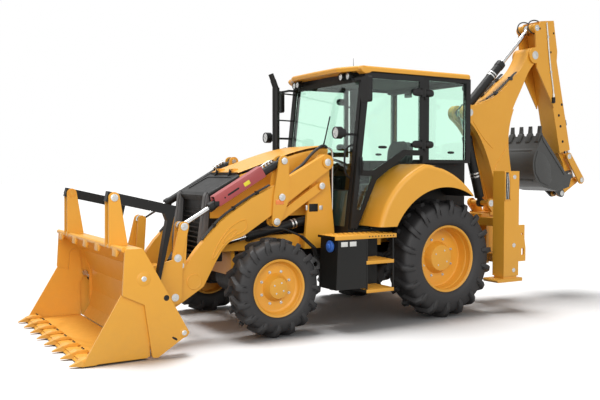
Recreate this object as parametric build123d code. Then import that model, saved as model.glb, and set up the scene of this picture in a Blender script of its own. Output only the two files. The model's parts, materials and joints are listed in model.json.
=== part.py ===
"""Backhoe loader: side-shift backhoe behind, 4-in-1 loader bucket with flip-over forks in front.

Lengths are millimetres. Shapes are laid out in side view with X forward from the rear axle, Y to the
machine's left and Z up from the ground, and are moved at the end so that the origin is under the
middle of the whole machine.
"""
import math
import os

from build123d import *

# Clearances
PIN_GAP = 0.5
SEAT_GAP = 0.3
SIDE_GAP = 6.0

# Wheels
WHEELBASE = 2200
FRONT_TYRE_RADIUS = 505
FRONT_TYRE_WIDTH = 330
FRONT_RIM_RADIUS = 292
FRONT_WHEEL_Y = 858
REAR_TYRE_RADIUS = 680
REAR_TYRE_WIDTH = 440
REAR_RIM_RADIUS = 380
REAR_WHEEL_Y = 862
RIM_WALL = 16
RIM_DISC = 22
FRONT_DISC_Y = 20
REAR_DISC_Y = -40
LUG_HEIGHT = 38
LUG_WIDTH = 52
LUG_SWEEP = 95
FRONT_LUGS = 16
REAR_LUGS = 18
TYRE_SIDES = 32
KINGPIN_Y = 722
KINGPIN_RADIUS = 58
SPINDLE_RADIUS = 72
AXLE_TUBE_RADIUS = 105
HANGER_X = 165

# Loader pins in side view. Three equal level arms keep the bucket flat as it rises.
ARM_PIVOT = (1407, 1788)
LEVEL_PIVOT = (1470, 1530)
BELLCRANK_PIN = (1993, 1416)
LEVEL_ARM = (-30, 385)
BUCKET_HINGE = (3211, 458)
TILT_ROD_PIN = (3104, 1148)
LIFT_BASE = (1417, 1177)
LIFT_EYE = (2650, 922)
CROSS_TUBE = (2984, 589)
CROSS_TUBE_RADIUS = 68
ARM_Y = 605
ARM_THICKNESS = 80
LIFT_Y = 447
LIFT_BARREL_RADIUS = 50
LIFT_ROD_RADIUS = 28
LIFT_BOSS_RADIUS = 46
TILT_BARREL_RADIUS = 42
TILT_ROD_RADIUS = 24
PLATE = 20
LINK_PLATE = 16
LINK_GAP = 5
EYE_WIDTH = 44
PIN_RADIUS = 28

# Loader bucket
BUCKET_HALF_WIDTH = 1200
BUCKET_PLATE = 22
TOOTH_TIP_X = 4344
LIP_X = 4231
JAW_PIVOT = (3699, 738)
JAW_BASE = (3320, 214)
JAW_EYE = (3600, 520)
JAW_BARREL_RADIUS = 25
JAW_ROD_RADIUS = 14
JAW_Y = BUCKET_HALF_WIDTH - 83
TEETH = 8

# Flip-over forks
FORK_PIN = (3843, 1452)
FORK_Y = 755
FORK_WIDTH = 80
FORK_SHANK = 620
FORK_TINE = 980
FORK_PITCH = 13
FORK_THICKNESS = 58
FORK_SHANK_DEPTH = 96

# Frame, cab and hood
RAIL_TOP = 990
RAIL_DEPTH = 150
RAIL_Y = 330
RAIL_WIDTH = 80
TOWER_Y = 532
TOWER_PLATE = 34
HOOD_HALF_WIDTH = 385
HOOD_SHEET = 10
HOOD_FRONT_X = WHEELBASE + 145
HOOD_FRONT_Z = 1685
HOOD_BOTTOM_Z = 1200
HOOD_REAR_X = 1225
HOOD_REAR_LEAN = 65
CAP_SEAM_Z = 1560
CAP_DEPTH = 95
GRILLE_TOP = (WHEELBASE + 505, 1468)
GRILLE_LOW = (WHEELBASE + 610, 919)
SLATS = 11
HOOD_HINGE = (HOOD_FRONT_X + 4, HOOD_FRONT_Z + 22)
NOSE_BACK_X = WHEELBASE + 348
REAR_JOINT_X = -700
CAB_HALF_WIDTH = 750
CAB_PILLAR = 60
CAB_FLOOR = 1040
CAB_EAVES = 2800
ROOF_HALF_WIDTH = CAB_HALF_WIDTH + 55
ROOF_FRONT_HALF = CAB_HALF_WIDTH - 250
ROOF_HEIGHT = 58
CAB_WAIST = 1785
TYRE_ROOM = 42
TUB_HALF_WIDTH = REAR_WHEEL_Y - REAR_TYRE_WIDTH / 2 - TYRE_ROOM
DOOR_THICKNESS = 30
DOOR_HINGE = (150, CAB_HALF_WIDTH + 42)
DOOR_SWING_ROOM = 100
DOOR_HINGE_Z = (1950, 2550)
DOOR_FRAME = 62
DOOR_RAIL_Z = 1700
GLASS = 8
FENDER_OUTER_Y = 1085
FENDER_SHEET = 16
TANK_INNER_Y = CAB_HALF_WIDTH + 12
TANK_FRONT_X = WHEELBASE - FRONT_TYRE_RADIUS - 95
TANK_OUTER_Y = 1100

# Backhoe pins in side view
SHIFT_Y = 300
SWING_X = -1330
BOOM_FOOT = (-1540, 1180)
BOOM_RANGE = 97
BOOM_NOSE = (-870, 2432)
STICK_PIN = (-2029, 3238)
BOOM_BASE = (-1213, 1273)
STICK_EYE = (-2057, 3604)
BUCKET_CYLINDER_BASE = (-2493, 3377)
ROCKER_PIN = (-2729, 1891)
ROCKER_EYE = (-2985, 1560)
LINK_PIN = (-2654, 1377)
DIG_HINGE = (-2808, 1634)
BOOM_HALF_WIDTH = 150
BOOM_TIP_HALF_WIDTH = 128
STICK_HALF_WIDTH = 130
DIG_HALF_WIDTH = 300
STICK_WALL = 14
LEG_Y = 1070
LEG_X = -890
ROCKER_EYE_RADIUS = 55

FRONT_END = TOOTH_TIP_X
REAR_END = ROCKER_EYE[0] - ROCKER_EYE_RADIUS
ORIGIN_X = (FRONT_END + REAR_END) / 2


def shifted(point, offset):
    return (point[0] + offset[0], point[1] + offset[1])


def between(start, end, share):
    return (start[0] + (end[0] - start[0]) * share, start[1] + (end[1] - start[1]) * share)


def toward(start, end, distance):
    return between(start, end, distance / math.dist(start, end))


def turned(point, about, degrees):
    """Turn a point of the side view, upwards at the front being positive."""
    angle = math.radians(degrees)
    x, z = point[0] - about[0], point[1] - about[1]
    cosine, sine = math.cos(angle), math.sin(angle)
    return (about[0] + x * cosine - z * sine, about[1] + x * sine + z * cosine)


def slab(points, y_low, y_high):
    """A plate with a straight-sided outline in side view."""
    face = make_face(Polyline(*[(x, z) for x, z in points], close=True))
    return extrude(Plane.XZ.offset(-y_high) * face, y_high - y_low, dir=(0, -1, 0))


def rounded(points, radius, y_low, y_high):
    """Plate in side view whose corners are rounded."""
    face = make_face(Polyline(*points, close=True))
    face = fillet(face.vertices(), radius)
    return extrude(Plane.XZ.offset(-y_high) * face, y_high - y_low, dir=(0, -1, 0))


def outline(edges, y_low, y_high):
    """A plate with an outline in side view made of lines and arcs."""
    face = make_face(edges)
    return extrude(Plane.XZ.offset(-y_high) * face, y_high - y_low, dir=(0, -1, 0))


def capsule(start, start_radius, end, end_radius, y_low, y_high):
    """A plate with round ends and straight tangent sides."""
    span = math.dist(start, end)
    lean = math.atan2(end[1] - start[1], end[0] - start[0])
    side = math.acos((start_radius - end_radius) / span)

    def at(centre, radius, angle):
        return (centre[0] + radius * math.cos(angle), centre[1] + radius * math.sin(angle))

    a, b = at(start, start_radius, lean + side), at(end, end_radius, lean + side)
    c, d = at(end, end_radius, lean - side), at(start, start_radius, lean - side)
    edges = [Line(a, b), ThreePointArc(b, at(end, end_radius, lean), c), Line(c, d),
             ThreePointArc(d, at(start, start_radius, lean + math.pi), a)]
    return outline(edges, y_low, y_high)


def pin(centre, radius, y_low, y_high):
    turned = Plane((centre[0], y_low, centre[1]), z_dir=(0, 1, 0))
    return turned * Cylinder(radius, y_high - y_low, align=(Align.CENTER, Align.CENTER, Align.MIN))


def bar(start, end, radius, y):
    """A round bar between two points of the side view."""
    axis = (end[0] - start[0], 0, end[1] - start[1])
    along = Plane((start[0], y, start[1]), z_dir=axis)
    return along * Cylinder(radius, math.dist(start, end), align=(Align.CENTER, Align.CENTER, Align.MIN))


def block(x_low, x_high, y_low, y_high, z_low, z_high):
    corner = (Align.MIN, Align.MIN, Align.MIN)
    return Pos(x_low, y_low, z_low) * Box(x_high - x_low, y_high - y_low, z_high - z_low, align=corner)


def post(x, y, radius, z_low, z_high):
    return Pos(x, y, z_low) * Cylinder(radius, z_high - z_low, align=(Align.CENTER, Align.CENTER, Align.MIN))


def flipped(shape):
    return mirror(shape, about=Plane.XZ)


def pair(shape):
    return shape + flipped(shape)


NODES = {}


def keep(name, shape):
    NODES[name] = Pos(-ORIGIN_X, 0, 0) * shape


# Wheels

def tyre(radius, rim_radius, width, lugs):
    """Tractor tyre: a many-sided carcass with slanted bars on both shoulders."""
    carcass = radius - LUG_HEIGHT
    height = carcass - rim_radius
    half = [(rim_radius, 0.38), (rim_radius + 0.4 * height, 0.49), (carcass - 0.12 * height, 0.44),
            (carcass, 0.24)]
    rings = [(y * width, r) for r, y in reversed(half)]
    rings = [(-y, r) for y, r in reversed(rings)] + rings
    body = loft([Plane.XZ.offset(-y) * RegularPolygon(r, TYRE_SIDES) for y, r in rings], ruled=True)
    bore = rim_radius / math.cos(math.pi / TYRE_SIDES)
    body -= Plane.XZ.offset(-width) * extrude(RegularPolygon(bore, TYRE_SIDES), 2 * width)
    step = 360 / lugs
    bar_low, bar_wide = 0.02 * width, 0.465 * width
    back, ahead = -(LUG_WIDTH + LUG_SWEEP) / 2, (LUG_WIDTH + LUG_SWEEP) / 2
    top = math.sqrt(radius ** 2 - ahead ** 2)
    root = carcass - 0.3 * height
    bars = []
    for side in (1, -1):
        foot = Polyline((back, side * bar_low), (back + LUG_WIDTH, side * bar_low), (ahead, side * bar_wide),
                        (ahead - LUG_WIDTH * 1.15, side * bar_wide), close=True)
        lug = extrude(Plane.XY.offset(root) * make_face(foot), top - root, dir=(0, 0, 1))
        start = 180 - math.degrees(math.atan2(ahead, top)) + (step / 2 if side < 0 else 0)
        bars += [Rot(0, start + index * step, 0) * lug for index in range(lugs)]
    return body + bars


def rim(rim_radius, width, disc_y, hub_radius, hub_y):
    edge = 0.385 * width
    outer = rim_radius - SEAT_GAP
    section = [(outer, -edge), (outer, edge), (outer - RIM_WALL, edge),
               (outer - RIM_WALL - 14, disc_y + RIM_DISC), (hub_radius + 40, disc_y + RIM_DISC), (hub_radius, hub_y), (0, hub_y), (0, disc_y),
               (outer - RIM_WALL, disc_y), (outer - RIM_WALL, -edge)]
    return revolve(make_face(Polyline(*section, close=True)), Axis.Y)


def wheels():
    front_tyre = Pos(WHEELBASE, FRONT_WHEEL_Y, FRONT_TYRE_RADIUS) * tyre(
        FRONT_TYRE_RADIUS, FRONT_RIM_RADIUS, FRONT_TYRE_WIDTH, FRONT_LUGS)
    front_rim = Pos(WHEELBASE, FRONT_WHEEL_Y, FRONT_TYRE_RADIUS) * rim(
        FRONT_RIM_RADIUS, FRONT_TYRE_WIDTH, FRONT_DISC_Y, 105, 120)
    rear_tyre = Pos(0, REAR_WHEEL_Y, REAR_TYRE_RADIUS) * tyre(
        REAR_TYRE_RADIUS, REAR_RIM_RADIUS, REAR_TYRE_WIDTH, REAR_LUGS)
    rear_rim = Pos(0, REAR_WHEEL_Y, REAR_TYRE_RADIUS) * rim(
        REAR_RIM_RADIUS, REAR_TYRE_WIDTH, REAR_DISC_Y, 150, 60)
    for name, shape in (("front_tyre", front_tyre), ("front_rim", front_rim),
                        ("rear_tyre", rear_tyre), ("rear_rim", rear_rim)):
        keep(name + "_left", shape)
        keep(name + "_right", flipped(shape))


# Axles

def axles():
    z = FRONT_TYRE_RADIUS
    yoke_y = KINGPIN_Y - 75
    beam = block(WHEELBASE - 85, WHEELBASE + 85, -yoke_y, yoke_y, z - 85, z + 85)
    beam += pin((WHEELBASE, z), 170, -190, 190)
    reach = HANGER_X - SEAT_GAP
    trunnion = Plane((WHEELBASE - reach, 0, z + 110), z_dir=(1, 0, 0)) * Cylinder(
        62, 2 * reach, align=(Align.CENTER, Align.CENTER, Align.MIN))
    beam += trunnion + block(WHEELBASE - 140, WHEELBASE + 140, -60, 60, z, z + 110)
    yoke = block(WHEELBASE - 62, WHEELBASE + 62, yoke_y - 60, KINGPIN_Y + 55, z + 112, z + 145)
    yoke += block(WHEELBASE - 62, WHEELBASE + 62, yoke_y - 60, KINGPIN_Y + 55, z - 145, z - 112)
    yoke += block(WHEELBASE - 62, WHEELBASE + 62, yoke_y - 60, yoke_y, z - 145, z + 145)
    front = beam + pair(yoke)
    z = REAR_TYRE_RADIUS
    inner_face = REAR_WHEEL_Y + REAR_DISC_Y - SEAT_GAP
    rear = pin((0, z), AXLE_TUBE_RADIUS, -inner_face, inner_face) + pin((0, z), 200, -210, 210)
    rear += pair(pin((0, z), 175, 420, 560))
    rear += pair(block(-110, 110, RAIL_Y - RAIL_WIDTH / 2, RAIL_Y + RAIL_WIDTH / 2, z, RAIL_TOP - RAIL_DEPTH))
    keep("axles", front + rear)


def knuckles():
    z = FRONT_TYRE_RADIUS
    inner_face = FRONT_WHEEL_Y + FRONT_DISC_Y - SEAT_GAP
    knuckle = post(WHEELBASE, KINGPIN_Y, KINGPIN_RADIUS, z - 112 + PIN_GAP, z + 112 - PIN_GAP)
    knuckle += pin((WHEELBASE, z), SPINDLE_RADIUS, KINGPIN_Y, inner_face)
    knuckle += pin((WHEELBASE, z), 135, inner_face - 66, inner_face)
    steer_arm = block(WHEELBASE - 190, WHEELBASE, KINGPIN_Y - 20, KINGPIN_Y + 20, z - 60, z - 30)
    keep("knuckle_left", knuckle + steer_arm)
    keep("knuckle_right", flipped(knuckle + steer_arm))


# Main frame with the loader towers

def main_frame():
    low = RAIL_TOP - RAIL_DEPTH
    inner, outer = RAIL_Y - RAIL_WIDTH / 2, RAIL_Y + RAIL_WIDTH / 2
    tower_in, tower_out = TOWER_Y - TOWER_PLATE / 2, TOWER_Y + TOWER_PLATE / 2
    rails = pair(block(REAR_JOINT_X, NOSE_BACK_X - SEAT_GAP, inner, outer, low, RAIL_TOP))
    for x in (REAR_JOINT_X, 150, NOSE_BACK_X - 108):
        rails += block(x, x + 90, -inner, inner, low, RAIL_TOP)
    for x in (WHEELBASE - HANGER_X - 40, WHEELBASE + HANGER_X):
        rails += block(x, x + 40, -inner, inner, FRONT_TYRE_RADIUS + 60, RAIL_TOP)
    tower = slab([(1230, low), (1640, low), (1600, 1260), (1550, 1560), (1478, 1830), (1340, 1830),
                  (1300, 1500)], tower_in, tower_out)
    tower += capsule(ARM_PIVOT, 92, between(ARM_PIVOT, LIFT_BASE, 0.4), 92, tower_in, tower_out)
    tower += block(1270, 1600, outer, tower_in, low, RAIL_TOP)
    arm_out = ARM_Y + ARM_THICKNESS / 2
    tower += pin(ARM_PIVOT, 35, tower_in, arm_out + SIDE_GAP)
    tower += pin(ARM_PIVOT, 62, arm_out + SIDE_GAP, arm_out + 18)
    tower += pin(LEVEL_PIVOT, PIN_RADIUS, tower_in, ARM_Y + 30) + pin(LEVEL_PIVOT, 44, ARM_Y + 30, ARM_Y + 42)
    tower += pin(LEVEL_PIVOT, 44, tower_in, ARM_Y - 30)
    tower += pin(LIFT_BASE, PIN_RADIUS, LIFT_Y - 34, tower_in) + pin(LIFT_BASE, 42, LIFT_Y - 46, LIFT_Y - 34)
    tower += pin(LIFT_BASE, 55, LIFT_Y + 34, tower_in)
    for x in (1240, 760):
        tower += block(x, x + 90, outer, TANK_INNER_Y, low + 20, RAIL_TOP - 30)
    keep("main_frame", rails + pair(tower))


def power_unit():
    low = RAIL_TOP - RAIL_DEPTH
    gearbox_front = WHEELBASE - 220
    engine = block(1340, HOOD_FRONT_X - 30, -250, 250, RAIL_TOP, 1610)
    engine += block(1420, HOOD_FRONT_X - 300, -150, 150, 1610, 1700)
    engine += block(260, gearbox_front, -210, 210, low - 140, RAIL_TOP - 5)
    engine += block(1340, gearbox_front, -210, 210, low, RAIL_TOP)
    engine += pair(block(1500, 1600, 210, RAIL_Y - RAIL_WIDTH / 2 - SEAT_GAP, 900, 970))
    stack_x, stack_y = 1442, -448
    stack = post(stack_x, stack_y, 44, 1560, 2700) + post(stack_x, stack_y, 36, 1500, 1560)
    stack += bar((stack_x, 2690), (stack_x + 40, 2790), 36, stack_y)
    stack += bar((stack_x + 36, 2780), (stack_x + 70, 2860), 32, stack_y)
    stack += block(stack_x - 30, stack_x + 30, -(TOWER_Y - TOWER_PLATE / 2), stack_y, 1600, 1640)
    keep("power_unit", engine + stack)


# Hood and nose

def hood_profile(inset):
    rear = HOOD_REAR_X + inset
    return [Line((rear + HOOD_REAR_LEAN, HOOD_BOTTOM_Z), (rear, 1985 - inset)),
            Spline((rear, 1985 - inset), (1546, 1940 - inset), (1879, 1845 - inset),
                   (HOOD_FRONT_X, HOOD_FRONT_Z - inset)),
            Line((HOOD_FRONT_X, HOOD_FRONT_Z - inset), (HOOD_FRONT_X, CAP_SEAM_Z)),
            Line((HOOD_FRONT_X, CAP_SEAM_Z), (GRILLE_TOP[0] - 12, GRILLE_TOP[1] - CAP_DEPTH)),
            Line((GRILLE_TOP[0] - 12, GRILLE_TOP[1] - CAP_DEPTH), (GRILLE_TOP[0] - 12, HOOD_BOTTOM_Z)),
            Line((GRILLE_TOP[0] - 12, HOOD_BOTTOM_Z), (rear + HOOD_REAR_LEAN, HOOD_BOTTOM_Z))]


def hood():
    """Hinged skin: its top ends at the black cap and its sides run on below the cap to the grille."""
    half, inside = HOOD_HALF_WIDTH, HOOD_HALF_WIDTH - HOOD_SHEET
    skin = outline(hood_profile(0), -half, half)
    edges = [e for e in skin.edges() if e.center().Z > 1700 and abs(e.center().Y) > half - 1 and e.length > 800]
    skin = fillet(edges, 70)
    skin -= outline(hood_profile(HOOD_SHEET), -inside, inside)
    skin -= block(HOOD_REAR_X - 25, HOOD_REAR_X + HOOD_REAR_LEAN + 75, -inside, inside, HOOD_BOTTOM_Z - 100, 1880)
    skin -= block(HOOD_FRONT_X - 40, GRILLE_TOP[0] + 20, -inside, inside, HOOD_BOTTOM_Z - 100, HOOD_FRONT_Z - 60)
    for low in (140, 183):
        knuckle = capsule(HOOD_HINGE, 12, (HOOD_FRONT_X - 60, HOOD_FRONT_Z + 22), 12, low, low + 17)
        skin += pair(knuckle - pin(HOOD_HINGE, 6 + PIN_GAP, low - 1, low + 18))
    keep("hood", skin)


def nose():
    """Radiator shell: sloping cap with a raised rim, slatted grille and a pillar at each side of it."""
    back, half = HOOD_FRONT_X + 8, HOOD_HALF_WIDTH
    top, low = GRILLE_TOP, GRILLE_LOW
    seam = CAP_SEAM_Z + 8
    cap = slab([(back, HOOD_FRONT_Z - 30), (top[0], top[1]), (low[0] - 70, top[1] - 30),
                (top[0], top[1] - CAP_DEPTH + 8), (back, seam)], -half, half)
    edges = [e for e in cap.edges()
             if abs(e.center().Y) > half - 1 and e.center().Z > top[1] + 20 and e.length > 200]
    cap = fillet(edges, 28)
    lean = math.atan2(top[1] - HOOD_FRONT_Z + 30, top[0] - back)
    middle = between((back, HOOD_FRONT_Z - 30), top, 0.5)
    pocket = Plane((middle[0], 0, middle[1]), x_dir=(math.cos(lean), 0, math.sin(lean)),
                   z_dir=(-math.sin(lean), 0, math.cos(lean))) * Box(280, 2 * half - 130, 16)
    cap -= fillet(pocket.edges().filter_by(lambda e: abs(e.length - 16) < 0.5), 40)
    inner = half - HOOD_SHEET - 7
    sides = slab([(NOSE_BACK_X, 780), (low[0] - 60, 780), (top[0] - 10, seam - 190), (NOSE_BACK_X, seam - 100)],
                 inner - 40, inner)
    shell = cap + pair(sides)
    shell += block(NOSE_BACK_X, low[0] - 20, -inner, inner, 740, 800)
    for row in range(SLATS):
        share = (row + 0.5) / SLATS
        x, z = between((low[0] - 30, 800), (top[0] - 30, top[1] - CAP_DEPTH), share)
        shell += slab([(x - 70, z - 14), (x, z), (x, z + 14), (x - 70, z)], -inner + 10, inner - 10)
    shell += block(NOSE_BACK_X + 20, NOSE_BACK_X + 130, -inner + 20, inner - 20, 790, top[1] - CAP_DEPTH + 10)
    post_x = low[0] - 44
    pillar = slab([(post_x - 40, 770), (low[0], 770), (low[0], 950), (top[0] + 44, top[1] - 40),
                   (top[0] + 20, top[1] + 8), (top[0] + 2, top[1] - 20), (top[0], top[1] - CAP_DEPTH)], inner - 46, half + 6)
    shell += pair(pillar)
    shell += pair(pin(HOOD_HINGE, 6, 138, 202))
    shell += pair(capsule(HOOD_HINGE, 11, (back + 25, HOOD_FRONT_Z - 45), 11, 160, 180))
    keep("nose", shell)


# Cab

def pillar_x(z):
    """Front face of the sloping front pillar."""
    return 1198 - (z - 1059) * (1198 - 1010) / (2721 - 1059)


def cab_frame():
    half, inside = CAB_HALF_WIDTH, CAB_HALF_WIDTH - CAB_PILLAR
    floor = CAB_FLOOR - 50
    cage = block(-650, 1190, -TUB_HALF_WIDTH, TUB_HALF_WIDTH, floor, CAB_FLOOR)
    cage += block(800, 1190, -half, half, floor, CAB_FLOOR)
    cage += pair(block(-650, 790, TUB_HALF_WIDTH - 25, TUB_HALF_WIDTH, floor, CAB_WAIST))
    cage += pair(block(-600, 150, TUB_HALF_WIDTH - 25, half, CAB_WAIST, CAB_WAIST + 40))
    cage += block(-650, -610, -TUB_HALF_WIDTH, TUB_HALF_WIDTH, floor, 1500)
    front_low, front_high = pillar_x(floor), pillar_x(CAB_EAVES)
    front_pillar = slab([(front_low - 75, floor), (front_low, floor), (front_high, CAB_EAVES),
                         (front_high - 75, CAB_EAVES)], inside, half)
    rear_pillar = block(-600, -530, inside, half, CAB_WAIST, CAB_EAVES)
    rear_pillar += block(-650, -610, TUB_HALF_WIDTH - 60, TUB_HALF_WIDTH, 1500, CAB_WAIST + 40)
    middle_pillar = block(51, 145, inside, half, CAB_WAIST, CAB_EAVES)
    rail = block(-600, front_high, inside, half, CAB_EAVES - 50, CAB_EAVES)
    cage += pair(front_pillar + rear_pillar + middle_pillar + rail)
    cage += block(front_high - 75, front_high, -half, half, CAB_EAVES - 50, CAB_EAVES)
    cage += block(-600, -540, -half, half, CAB_EAVES - 50, CAB_EAVES)
    cage += block(-600, -560, -half, half, CAB_WAIST, CAB_WAIST + 40)
    cowl_top = 1480
    cage += slab([(pillar_x(floor) - 40, floor), (pillar_x(floor), floor), (pillar_x(cowl_top), cowl_top),
                  (pillar_x(cowl_top) - 40, cowl_top)], -inside, inside)
    for z in DOOR_HINGE_Z:
        cage += pair(block(100, DOOR_HINGE[0] + 3, half - 1, DOOR_HINGE[1] + 12, z - 22, z - 2))
        cage += pair(post(*DOOR_HINGE, 7, z - 22, z + 70))
    keep("cab_frame", cage)


def cab_glass():
    inside = CAB_HALF_WIDTH - CAB_PILLAR - PIN_GAP
    low, high = 1481, CAB_EAVES - 51
    x = -20
    panes = slab([(pillar_x(low) + x - GLASS, low), (pillar_x(low) + x, low), (pillar_x(high) + x, high),
                  (pillar_x(high) + x - GLASS, high)], -inside, inside)
    panes += block(-570, -570 + GLASS, -inside, inside, CAB_WAIST + 41, high)
    y = CAB_HALF_WIDTH - 30
    panes += pair(block(-530 + SEAT_GAP, 51 - SEAT_GAP, y, y + GLASS, CAB_WAIST + 41, high))
    keep("cab_glass", panes)


def cab_roof():
    """Roof skin: its front narrows over the windscreen and its rim is rounded."""
    plan = [(-590, -ROOF_HALF_WIDTH + 30), (1040, -ROOF_HALF_WIDTH), (1190, -ROOF_FRONT_HALF), (1205, 0),
            (1190, ROOF_FRONT_HALF), (1040, ROOF_HALF_WIDTH), (-590, ROOF_HALF_WIDTH - 30)]
    edge = make_face(Polyline(*plan, close=True))
    edge = fillet(edge.vertices(), 45)
    roof = extrude(Plane.XY.offset(CAB_EAVES) * edge, ROOF_HEIGHT, dir=(0, 0, 1))
    roof = fillet(roof.faces().sort_by(Axis.Z)[-1].edges(), 30)
    return roof


def cab_interior():
    seat = block(-60, 420, -230, 230, 1430, 1540) + block(-160, -40, -220, 220, 1480, 2080)
    seat += block(20, 320, -150, 150, CAB_FLOOR, 1430)
    console = block(900, 1060, -190, 190, CAB_FLOOR, 1620)
    wheel = Plane((820, 0, 1760), z_dir=(-0.45, 0, 1)) * (Torus(185, 16) + Box(24, 360, 10) + Cylinder(40, 24))
    column = bar((960, 1600), (820, 1760), 30, 0)
    pods = pair(block(-40, 330, 300, 430, CAB_FLOOR, 1600))
    keep("cab_interior", seat + console + wheel + column + pods)


# Doors

def fender_top():
    """Outer edge of the rear fender, from its front foot over the wheel to its rear tip."""
    return (1000, 1085), (760, 1530), (372, 1771), (20, 1690), (-371, 1417)


def crescent(inset, y_low, y_high):
    """Side view of a fender between its top edge and the wheel opening, drawn in by a sheet's thickness."""
    foot, rise, crown, fall, tail = fender_top()
    low = 1085 if inset == 0 else 1000
    inner_foot, inner_mid, inner_tail = (775, 1085), (280, 1480), (-345, 1395)
    if inset == 0:
        edges = [ThreePointArc(foot, rise, crown), ThreePointArc(crown, fall, tail), Line(tail, inner_tail),
                 ThreePointArc(inner_tail, inner_mid, inner_foot), Line(inner_foot, foot)]
    else:
        top = [(foot[0] - inset * 1.2, foot[1]), (rise[0] - inset * 0.8, rise[1] - inset * 0.7),
               (crown[0], crown[1] - inset), (fall[0] + inset * 0.4, fall[1] - inset),
               (tail[0] + 5, tail[1] - inset * 1.3)]
        edges = [ThreePointArc(*top[:3]), ThreePointArc(*top[2:]), Line(top[4], (top[4][0], low)),
                 Line((top[4][0], low), (top[0][0], low)), Line((top[0][0], low), top[0])]
    return outline(edges, y_low, y_high)


def fenders():
    inner = TUB_HALF_WIDTH + SEAT_GAP
    shape = crescent(0, inner, FENDER_OUTER_Y)
    edges = [e for e in shape.edges() if abs(e.center().Y - FENDER_OUTER_Y) < 1 and e.length > 400]
    edges = sorted(edges, key=lambda e: e.center().Z)[-2:]
    shape = fillet(edges, 55)
    shape -= crescent(FENDER_SHEET, inner - 1, FENDER_OUTER_Y - FENDER_SHEET)
    keep("roof_and_fenders", pair(shape) + cab_roof())


def door_outline():
    """Door edge, leaving swing room in front of and above the fender."""
    foot, rise, crown, fall, tail = fender_top()
    rear = DOOR_HINGE[0] + 10
    low, high = CAB_FLOOR + 20, CAB_EAVES - 15
    return [(pillar_x(low) - 8, low), (foot[0] + DOOR_SWING_ROOM, low),
            (rise[0] + DOOR_SWING_ROOM * 0.75, rise[1] + DOOR_SWING_ROOM * 0.65),
            (crown[0] + DOOR_SWING_ROOM * 0.5, crown[1] + DOOR_SWING_ROOM), (rear, crown[1] + DOOR_SWING_ROOM),
            (rear, high), (pillar_x(high) - 8, high)]


def door_windows():
    """Outlines of the upper and the lower pane."""
    front_low, corner, knee, shoulder, heel, top, front_top = door_outline()
    frame, sill = DOOR_FRAME, DOOR_RAIL_Z
    upper = [(pillar_x(sill) - 8 - frame, sill), (knee[0] + frame * 0.7, sill),
             (shoulder[0] + frame * 0.5, shoulder[1] + frame), (heel[0] + frame, heel[1] + frame), (top[0] + frame, top[1] - frame),
             (front_top[0] - frame, front_top[1] - frame)]
    low, high = 1260, sill - frame
    share = (low - corner[1]) / (knee[1] - corner[1])
    lower = [(pillar_x(high) - 8 - frame, high), (pillar_x(low) - 8 - frame, low),
             (between(corner, knee, share)[0] + frame * 0.95, low), (knee[0] + frame, high)]
    return upper, lower


def doors():
    y = CAB_HALF_WIDTH + SIDE_GAP
    frame = slab(door_outline(), y, y + DOOR_THICKNESS)
    pane_y = y + (DOOR_THICKNESS - GLASS) / 2
    panes = None
    for points in door_windows():
        frame -= slab(points, y - 1, y + DOOR_THICKNESS + 1)
        face = offset(make_face(Polyline(*points, close=True)), -SEAT_GAP, kind=Kind.INTERSECTION)
        pane = extrude(Plane.XZ.offset(-pane_y - GLASS) * face, GLASS, dir=(0, -1, 0))
        panes = pane if panes is None else panes + pane
    hinge = frame
    for z in DOOR_HINGE_Z:
        hinge += post(*DOOR_HINGE, 13, z, z + 100)
        hinge += block(DOOR_HINGE[0], DOOR_HINGE[0] + 50, y + DOOR_THICKNESS - 5, DOOR_HINGE[1] + 8, z, z + 100)
        hinge -= post(*DOOR_HINGE, 7 + PIN_GAP, z - 1, z + 72)
    keep("door_left", hinge)
    keep("door_left_glass", panes)
    keep("door_right", flipped(hinge))
    keep("door_right_glass", flipped(panes))


# Tanks, steps, lamps and mirrors

def side_tanks():
    inner, outer = TANK_INNER_Y, TANK_OUTER_Y
    front, back = TANK_FRONT_X, TANK_FRONT_X - 400
    step_back = back - 370
    tank = slab([(back, 445), (front - 15, 445), (front - 40, 985), (back, 985)], inner, outer)
    tank += block(step_back - 30, front, inner, outer, 985, 1010)
    tank += block(step_back, back, inner, inner + 30, 391, 985)
    for z in (391, 700):
        tank += block(step_back, back, inner, outer, z, z + 30)
    keep("side_tanks", pair(tank))


def round_lamp(x, y, z, radius, depth):
    """A round lamp whose lens looks forwards."""
    back = Plane((x - depth, y, z), z_dir=(1, 0, 0))
    cup = Cylinder(radius * 0.7, depth * 0.5, align=(Align.CENTER, Align.CENTER, Align.MIN))
    ring = Pos(0, 0, depth * 0.4) * Cylinder(radius, depth * 0.6, align=(Align.CENTER, Align.CENTER, Align.MIN))
    return back * (cup + ring)


def lamps_and_mirrors():
    inside, half = CAB_HALF_WIDTH - 50, CAB_HALF_WIDTH
    lamps = round_lamp(1398, half + 50, 2108, 66, 110)
    lamps += block(pillar_x(2085) + 0.2, 1330, inside, inside + 25, 2085, 2110)
    lamps += block(1300, 1325, inside, half + 50, 2085, 2110)
    for x, y in ((1120, half - 270), (1100, half - 160)):
        lamps += round_lamp(x, y, CAB_EAVES - 48, 42, 70)
        lamps += block(x - 62, x - 30, y - 12, y + 12, CAB_EAVES - 48, CAB_EAVES - 0.2)
    lamps += block(-722, -672, half - 230, half - 130, 2690, 2770)
    lamps += block(-680, -600.2, half - 195, half - 165, 2752, CAB_EAVES - 2)
    arm = block(pillar_x(2690) + 0.2, 1120, inside, inside + 26, 2690, 2714)
    arm += block(1090, 1112, inside, half + 180, 2690, 2714)
    head = block(1076, 1124, half + 130, half + 280, 2440, 2716)
    head = fillet(head.edges().filter_by(Axis.X), 26)
    keep("lamps_and_mirrors", pair(lamps + arm + head))


# Loader

def level_end(start):
    return shifted(start, LEVEL_ARM)


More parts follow.
